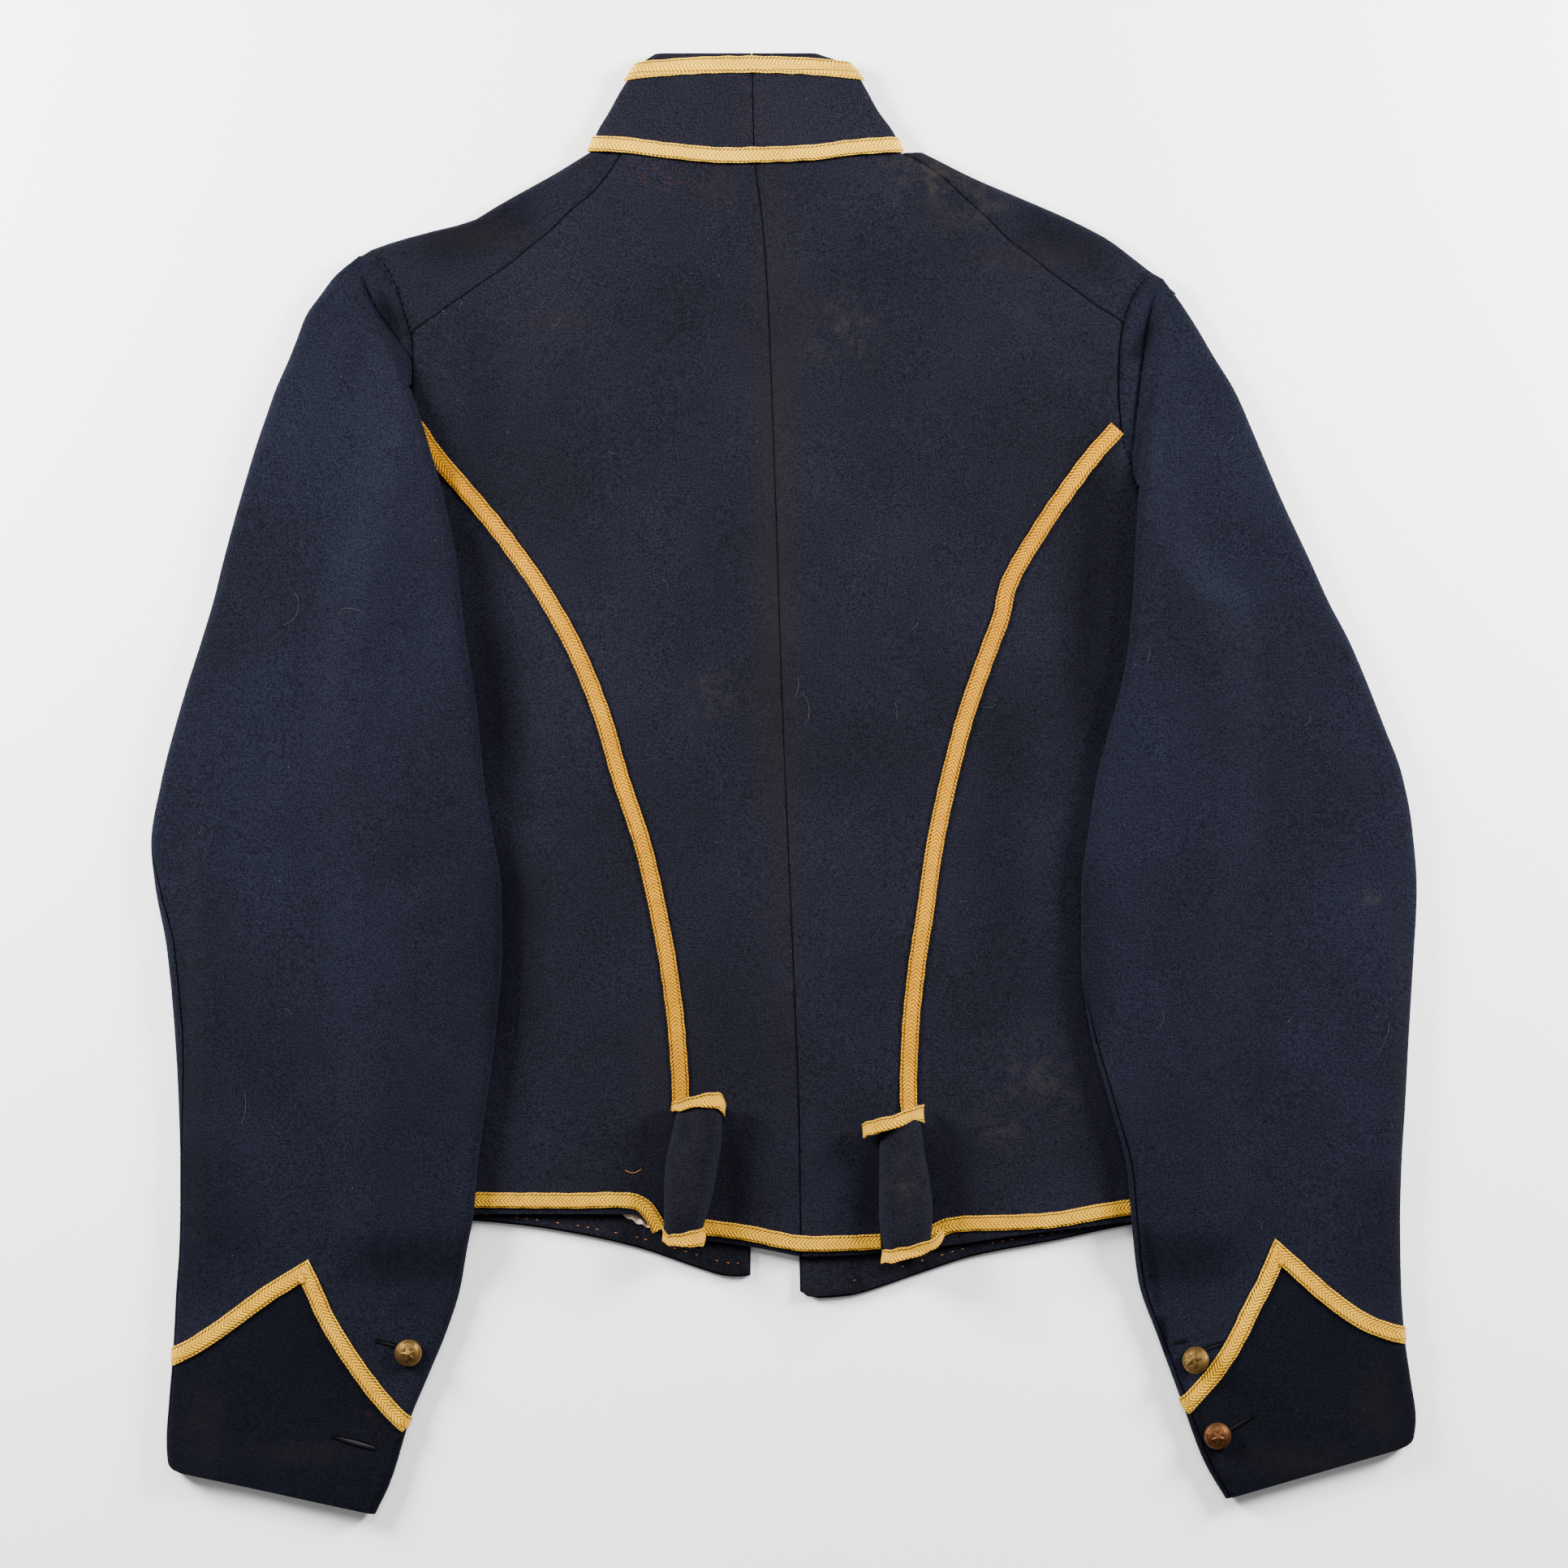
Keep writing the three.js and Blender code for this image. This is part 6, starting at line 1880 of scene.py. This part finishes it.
@dataclass(frozen=True)
class CuffButton:
    """A domed cuff button with a rim and a plain star."""

    name: str
    side: int
    x: float
    y: float
    tilt: float
    turn: float
    finish: Finish = Finish.BRASS
    radius: float = 7.15
    rise: float = 3.5
    foot: float = 1.5
    star: float = 0.66
    star_inner: float = 0.42

    def relief(self, radius: float, dome: Callable[[float], float]) -> bpy.types.Object:
        """A five-pointed star with ridged arms, laid on the dome.

        Args:
            radius: the star's radius in metres.
            dome: the dome's height at a distance from its middle, in metres.

        Returns:
            The star.
        """
        bpy.ops.object.select_all(action="DESELECT")
        bpy.ops.mesh.primitive_circle_add(vertices=10, radius=radius, fill_type="NGON", location=(0, 0, 0))
        star = bpy.context.object
        for k, vertex in enumerate(star.data.vertices):
            if k % 2:
                vertex.co.xy *= self.star_inner
        bpy.ops.object.mode_set(mode="EDIT")
        bpy.ops.mesh.select_all(action="SELECT")
        bpy.ops.mesh.extrude_region_move(TRANSFORM_OT_translate={"value": (0, 0, 0.55 * MM)})
        bpy.ops.mesh.poke(offset=0.8 * MM)
        bpy.ops.mesh.select_all(action="SELECT")
        bpy.ops.mesh.subdivide(number_cuts=2)
        bpy.ops.object.mode_set(mode="OBJECT")
        for vertex in star.data.vertices:
            vertex.co.z += dome(vertex.co.xy.length)
        return star

    def build(self, seat: float) -> bpy.types.Object:
        """The button on its shank.

        Args:
            seat: the height of the cuff beneath it, in millimetres.

        Returns:
            The finished button.
        """
        radius, high, foot = self.radius * MM, self.rise * MM, self.foot * MM

        def dome(away: float) -> float:
            """The dome's height at a distance from its middle, in metres."""
            return foot + high * math.sqrt(max(0.0, 1 - (away / (radius * 0.97)) ** 2))

        bpy.ops.object.select_all(action="DESELECT")
        bpy.ops.mesh.primitive_uv_sphere_add(segments=56, ring_count=32, radius=radius * 0.955,
                                             location=(0, 0, 0))
        ball = bpy.context.object
        bpy.ops.object.mode_set(mode="EDIT")
        bpy.ops.mesh.select_all(action="SELECT")
        bpy.ops.mesh.bisect(plane_co=(0, 0, 0), plane_no=(0, 0, 1), use_fill=True, clear_inner=True)
        bpy.ops.object.mode_set(mode="OBJECT")
        ball.scale = (1, 1, high / (radius * 0.955))
        ball.location = (0, 0, foot)
        parts = [ball]
        bpy.ops.mesh.primitive_cylinder_add(vertices=64, radius=radius * 0.985, depth=1.0 * MM,
                                            location=(0, 0, 1.1 * MM))
        rim = bpy.context.object
        bevel = rim.modifiers.new("rounded rim", "BEVEL")
        bevel.width, bevel.segments = 0.42 * MM, 3
        apply_modifiers(rim)
        parts.append(rim)
        for ring, thick, at in ((0.93, 0.34, 1.75), (0.80, 0.16, dome(radius * 0.80) / MM)):
            bpy.ops.mesh.primitive_torus_add(major_radius=radius * ring, minor_radius=thick * MM,
                                             major_segments=64, minor_segments=8, location=(0, 0, at * MM))
            parts.append(bpy.context.object)
        bpy.ops.mesh.primitive_cylinder_add(vertices=20, radius=1.6 * MM, depth=1.4 * MM, location=(0, 0, 0))
        parts.append(bpy.context.object)
        parts.append(self.relief(radius * self.star, dome))
        bpy.ops.object.select_all(action="DESELECT")
        for part in parts:
            part.select_set(True)
        bpy.context.view_layer.objects.active = ball
        bpy.ops.object.join()
        obj = bpy.context.object
        obj.name = f"{self.name}_brass"
        bpy.ops.object.transform_apply(location=True, rotation=True, scale=True)
        obj.rotation_euler = (math.radians(self.tilt * 0.4), math.radians(self.tilt), math.radians(self.turn))
        obj.location = (self.x * MM, self.y * MM, (seat + 0.35 + 0.09 * abs(self.tilt)) * MM)
        bpy.ops.object.transform_apply(location=True, rotation=True, scale=True)
        dress(obj, self.finish, "button_brass")
        bpy.ops.object.shade_smooth_by_angle(angle=math.radians(38))
        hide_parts(self.name)
        return obj


BUTTONS = [
    CuffButton("cuff_button_left_upper", -1, -193.6, -293.2, 4, 12),
    CuffButton("cuff_button_right_upper", 1, 212.4, -297, -27, -10),
    CuffButton("cuff_button_right_lower", 1, 223.5, -336, -3, 40, Finish.COPPER),
]


@dataclass(frozen=True)
class Buttonhole:
    """A worked buttonhole: a slit with close stitches over both its edges and a fan at its eye."""

    name: str
    side: int
    start: tuple
    end: tuple
    gape: float
    stitch: float = 1.5
    pitch: float = 0.62
    fan: int = 7
    thread: float = 0.24

    def half_gape(self, s: Number) -> Number:
        """Half the slit's opening at a share of its length, widest near its middle."""
        return self.gape * 0.5 * np.sin(math.pi * np.minimum(1.0, 0.15 + 0.85 * s))

    def build(self, face: Face) -> None:
        """The slit and its stitches.

        Args:
            face: the height of the cloth.
        """
        a, b = np.array(self.start, float), np.array(self.end, float)
        whole = float(np.linalg.norm(b - a))
        along = (b - a) / whole
        across = np.array([along[1], -along[0]])
        verts, faces = [], []
        count = int(whole / self.pitch)
        pick = random.Random(self.name)
        for k in range(count + 1):
            s = k / count
            half = float(self.half_gape(s))
            middle = a + (b - a) * s
            for sign in (-1, 1):
                inner = middle + across * sign * (half + 0.05)
                outer = middle + across * sign * (half + self.stitch * pick.uniform(0.8, 1.15))
                outer += along * pick.uniform(-0.18, 0.18)
                self.strand(verts, faces, inner, outer, face)
        for k in range(self.fan):
            turn = math.pi * (k / (self.fan - 1) - 0.5)
            way = along * math.cos(turn) + across * math.sin(turn)
            self.strand(verts, faces, b + way * 0.3, b + way * (self.stitch + 0.2), face)
        dress(new_piece(f"{self.name}_stitches", verts, faces), Finish.DARK_THREAD, "sleeve_cloth")
        s = np.linspace(0, 1, 20)
        half = np.maximum(0.12, self.half_gape(s))
        rows = []
        for part in (-1, 0, 1):
            at = a + (b - a) * s[:, None] + across * (part * half)[:, None]
            rows.append(np.stack([at[:, 0], at[:, 1], face(at[:, 0], at[:, 1]) + 0.12], axis=1))
        grid = np.array(rows).transpose(1, 0, 2)
        corners = [3 * i + j for i in range(len(s) - 1) for j in range(2)]
        cells = [(k, k + 1, k + 4, k + 3) for k in corners]
        slit = new_piece(f"{self.name}_slit", grid.reshape(-1, 3), cells)
        thicken(slit, 0.1)
        dress(slit, Finish.SLIT, "sleeve_cloth")

    def strand(self, verts: list, faces: list, inner: np.ndarray, outer: np.ndarray, face: Face) -> None:
        """One stitch, from the slit's edge outwards, dipping into the cloth at its outer end.

        Args:
            verts: the mesh's vertices.
            faces: its faces.
            inner: the stitch's inner end, seen from above.
            outer: its outer end.
            face: the height of the cloth.
        """
        ends = np.array([inner, mix(inner, outer, 0.5), outer])
        z = face(ends[:, 0], ends[:, 1]) + np.array([0.3, 0.36, 0.02])
        add_strand(verts, faces, np.column_stack([ends, z]), self.thread)


BUTTONHOLES = [
    Buttonhole("buttonhole_left_upper", -1, (-198, -290), (-210, -286.9), 0.5),
    Buttonhole("buttonhole_left_lower", -1, (-211, -342), (-232, -336.2), 1.5, 1.7),
    Buttonhole("buttonhole_right_upper", 1, (217, -291.4), (228.4, -287.6), 0.5),
    Buttonhole("buttonhole_right_lower", 1, (228.5, -333.6), (242, -325.4), 0.5),
    Buttonhole("stitched_mark_right", 1, (201.6, -288.1), (207.1, -286.9), 0.3, 0.8),
]


@dataclass
class Inside:
    """What shows of the inside below the back's hem: the two hem facings and a strip of lining."""

    facing_depth: float = 16.0
    facing_thickness: float = 1.0
    lining_thickness: float = 0.45
    lining_ends: tuple = (-90, -65)
    lining_top: float = -212.0

    def facing(self, side: Side, reach: float, seams: tuple) -> None:
        """A hem facing, its seams pressed in and its edge sewn with tan thread.

        Args:
            side: its side of the jacket.
            reach: how far out from the middle it goes.
            seams: the x of each seam across it.
        """
        hem_y = side.body.first
        front = float(side.body.read("front", hem_y)) + 1.5
        out = mix(reach, front, np.linspace(0, 1, 120))
        rows = []
        for part in np.linspace(0, 1, 16):
            hem = hem_y - side.front_hem.read("drop", out) + 1
            y = mix(hem, hem_y + self.facing_depth, part)
            x = side.sign * out
            z = WALL + SEAM_GAP + self.facing_thickness + 0.14 * FINE(x, y) + 0.12 * BROAD(x, y)
            for seam in seams:
                z = z - 0.5 * np.exp(-((x - seam) / 0.9) ** 2)
            z = z - 0.35 * np.exp(-((y - hem - 11) / 1.0) ** 2)
            rows.append(side.ordered(np.stack([x, y, z], axis=1)))
        grid = np.array(rows)
        sheet = Sheet(f"facing_{side.name}_cloth", grid, self.facing_thickness)
        obj = sheet.build(Finish.FACING, "facing_cloth")
        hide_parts(f"facing_{side.name}")
        # Two rows of tan stitches: the grid's row, the stitch, its pitch and radius, and the share missed.
        for name, row, *sizes, missed in (("edge", 2, 1.5, 5.2, 0.17, 0.45),
                                          ("hem", 11, 0.9, 3.6, 0.13, 0.55)):
            line = grid[row][::-side.sign] + np.array([0, 0, 0.08])
            Stitches(f"facing_{side.name}_{name}_stitches", [line], Finish.TAN_THREAD, *sizes,
                                 "facing_cloth", missed).build()
        sheet.declare(obj)

    def lining(self) -> None:
        """The strip of lining, puckered where it was felled to the hem."""
        x = np.linspace(*self.lining_ends, 90)
        pucker = np.sin((x + 90) / 25 * 16 * 1.9)
        edge = -220 - 9 * smooth((x + 92) / 24) + 0.55 * pucker
        rows = []
        for part in np.linspace(0, 1, 14):
            y = mix(edge, self.lining_top, part)
            z = 4.3 + 0.5 * (1 - part) * pucker + 0.1 * FINE(x * 2, y * 2)
            rows.append(np.stack([x, y, z], axis=1))
        sheet = Sheet("lining_strip_cloth", np.array(rows), self.lining_thickness)
        obj = sheet.build(Finish.LINING, "lining")
        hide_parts("lining_strip")
        sheet.declare(obj)

    def build(self) -> None:
        """Both facings and the lining."""
        self.facing(SIDES[0], 170, (-73.9, -118.0))
        self.facing(SIDES[1], 190, (14.7, 40.3, 71.8))
        self.lining()


@dataclass(frozen=True)
class Fibre:
    """A loose hair or thread lying on the cloth."""

    x: float
    y: float
    length: float
    turn: float
    bend: float
    radius: float = 0.08


HAIRS = [Fibre(*row) for row in (
    (-258, 82, 21, 72, 0.9), (-228, 90, 13, -12, -0.4), (58, 33, 9, 95, 0.3), (5, 44, 12, 80, 0.4),
    (-91, 172, 5, -20, 0.3), (-280, -176, 17, 84, 0.3), (306, -140, 18, 70, 0.25), (190, -126, 12, 65, 0.9),
    (186, 62, 8, 75, 0.3), (228, 176, 5, 40, 0.5), (12, 32, 16, 100, 0.5), (-144, -130, 6, 40, 0.5),
    (-302, -26, 5, 70, 0.5), (-36, -30, 6, 20, 0.8), (66, 80, 5, 50, 0.5), (-120, 236, 5, 30, 0.3),
    (-168, 246, 4, 60, 0.4), (-60, 100, 7, 120, 0.7), (104, 40, 6, 15, 0.7), (-254, -120, 6, 130, 0.6),
    (268, 30, 7, 60, 0.7), (246, -230, 6, 110, 0.7), (90, -60, 5, 0, 0.5),
)]
LOOSE_THREAD = Fibre(-82, -199, 9.5, 4, 0.75, 0.13)


@dataclass
class Litter:
    """The loose hairs, and one end of tan thread, as they lie on the jacket in the photograph."""

    height: Face

    def strands(self, name: str, fibres: list, finish: Finish) -> None:
        """Some fibres as one object, each closed.

        Args:
            name: the object's name.
            fibres: the fibres.
            finish: what they are made of.
        """
        verts, faces = [], []
        for fibre in fibres:
            angle = math.radians(fibre.turn)
            points = [(fibre.x, fibre.y)]
            for k in range(9):
                turn = angle + fibre.bend * (k - 4) / 4
                step = fibre.length / 9
                points.append((points[-1][0] + step * math.cos(turn), points[-1][1] + step * math.sin(turn)))
            flat = np.array(points)
            z = self.height(flat[:, 0], flat[:, 1]) + fibre.radius + 0.12
            add_strand(verts, faces, np.column_stack([flat, z]), fibre.radius, 4)
        dress(new_piece(name, verts, faces), finish, "navy_cloth")

    def build(self) -> None:
        """The hairs and the thread end."""
        self.strands("loose_hairs", HAIRS, Finish.PALE_HAIR)
        self.strands("loose_thread", [LOOSE_THREAD], Finish.TAN_THREAD)


@dataclass
class Studio:
    """A plain pale floor, a wide soft light from above and beside, and the photograph's camera."""

    frame_width: float = 0.81144
    distance: float = 2.254
    sensor: float = 36.0

    def light(self, name: str, place: tuple, size: float, power: float) -> None:
        """A square soft light aimed at the jacket.

        Args:
            name: its name.
            place: where it stands, in metres.
            size: the length of its sides in metres.
            power: its power in watts.
        """
        data = bpy.data.lights.new(name, "AREA")
        data.shape = "SQUARE"
        data.size = size
        data.energy = power
        obj = bpy.data.objects.new(name, data)
        bpy.context.scene.collection.objects.link(obj)
        obj.location = place
        obj.rotation_euler = (-obj.location).to_track_quat("-Z", "Y").to_euler()

    def build(self) -> None:
        """The floor, lights, sky and camera."""
        bpy.ops.mesh.primitive_plane_add(size=8, location=(0, 0, -0.0004))
        floor = bpy.context.object
        floor.name = "floor"
        floor.data.materials.append(FINISHES.get(Finish.FLOOR))
        self.light("key", (0.1, 1.5, 2.5), 1.2, 50)
        self.light("left side light", (-1.15, 0.55, 0.56), 0.45, 84)
        self.light("right side light", (1.15, 0.55, 0.56), 0.45, 78)
        world = bpy.data.worlds.new("sky")
        world.use_nodes = True
        sky = world.node_tree.nodes["Background"].inputs
        sky["Color"].default_value = (1, 1, 1, 1)
        sky["Strength"].default_value = 0.3
        bpy.context.scene.world = world
        data = bpy.data.cameras.new("camera")
        data.sensor_width = self.sensor
        data.lens = self.sensor * self.distance / self.frame_width
        camera = bpy.data.objects.new("camera", data)
        bpy.context.scene.collection.objects.link(camera)
        camera.location = (0, 0, self.distance)
        bpy.context.scene.camera = camera


def main() -> None:
    """Builds the jacket piece by piece, then its surroundings."""
    for side in SIDES:
        Body(side).build()
        LOG.info("body, %s side: %d triangles so far", side.name, triangles())
    sleeves = [Sleeve(side) for side in SIDES]
    for sleeve in sleeves:
        sleeve.build()
        LOG.info("%s sleeve: %d triangles so far", sleeve.side.name, triangles())
    Collar().build()
    LOG.info("collar: %d triangles so far", triangles())
    Inside().build()
    LOG.info("facings and lining: %d triangles so far", triangles())
    Tapes(sleeves).build()
    LOG.info("tapes: %d triangles so far", triangles())
    for name, table in (("left", LEFT_ROLL), ("right", RIGHT_ROLL)):
        BeltRoll(name, table, BINDINGS[name]).build()
        LOG.info("%s belt roll: %d triangles so far", name, triangles())
    for button in BUTTONS:
        sleeve = sleeves[0 if button.side < 0 else 1]
        turn = np.linspace(0, math.tau, 13)
        seat = float(sleeve.face(button.x + 6 * np.cos(turn), button.y + 6 * np.sin(turn)).max())
        button.build(seat)
        LOG.info("%s", button.name)
    for hole in BUTTONHOLES:
        hole.build(sleeves[0 if hole.side < 0 else 1].face)
        LOG.info("%s", hole.name)

    def height(x: np.ndarray, y: np.ndarray) -> np.ndarray:
        """The jacket's upper face: the sleeves beside the body's own face."""
        on_left, on_right = sleeves[0].face(x, y), sleeves[1].face(x, y)
        return np.where(x < -170, on_left, np.where(x > 175, on_right, face_height(x, y)))

    Litter(height).build()
    Studio().build()
    LOG.info("whole jacket and floor: %d triangles", triangles())
    for cut in CUTS:
        LOG.info("cut %s: %d by %d mm, %.4f m2", *cut)


if __name__ == "__main__":
    main()
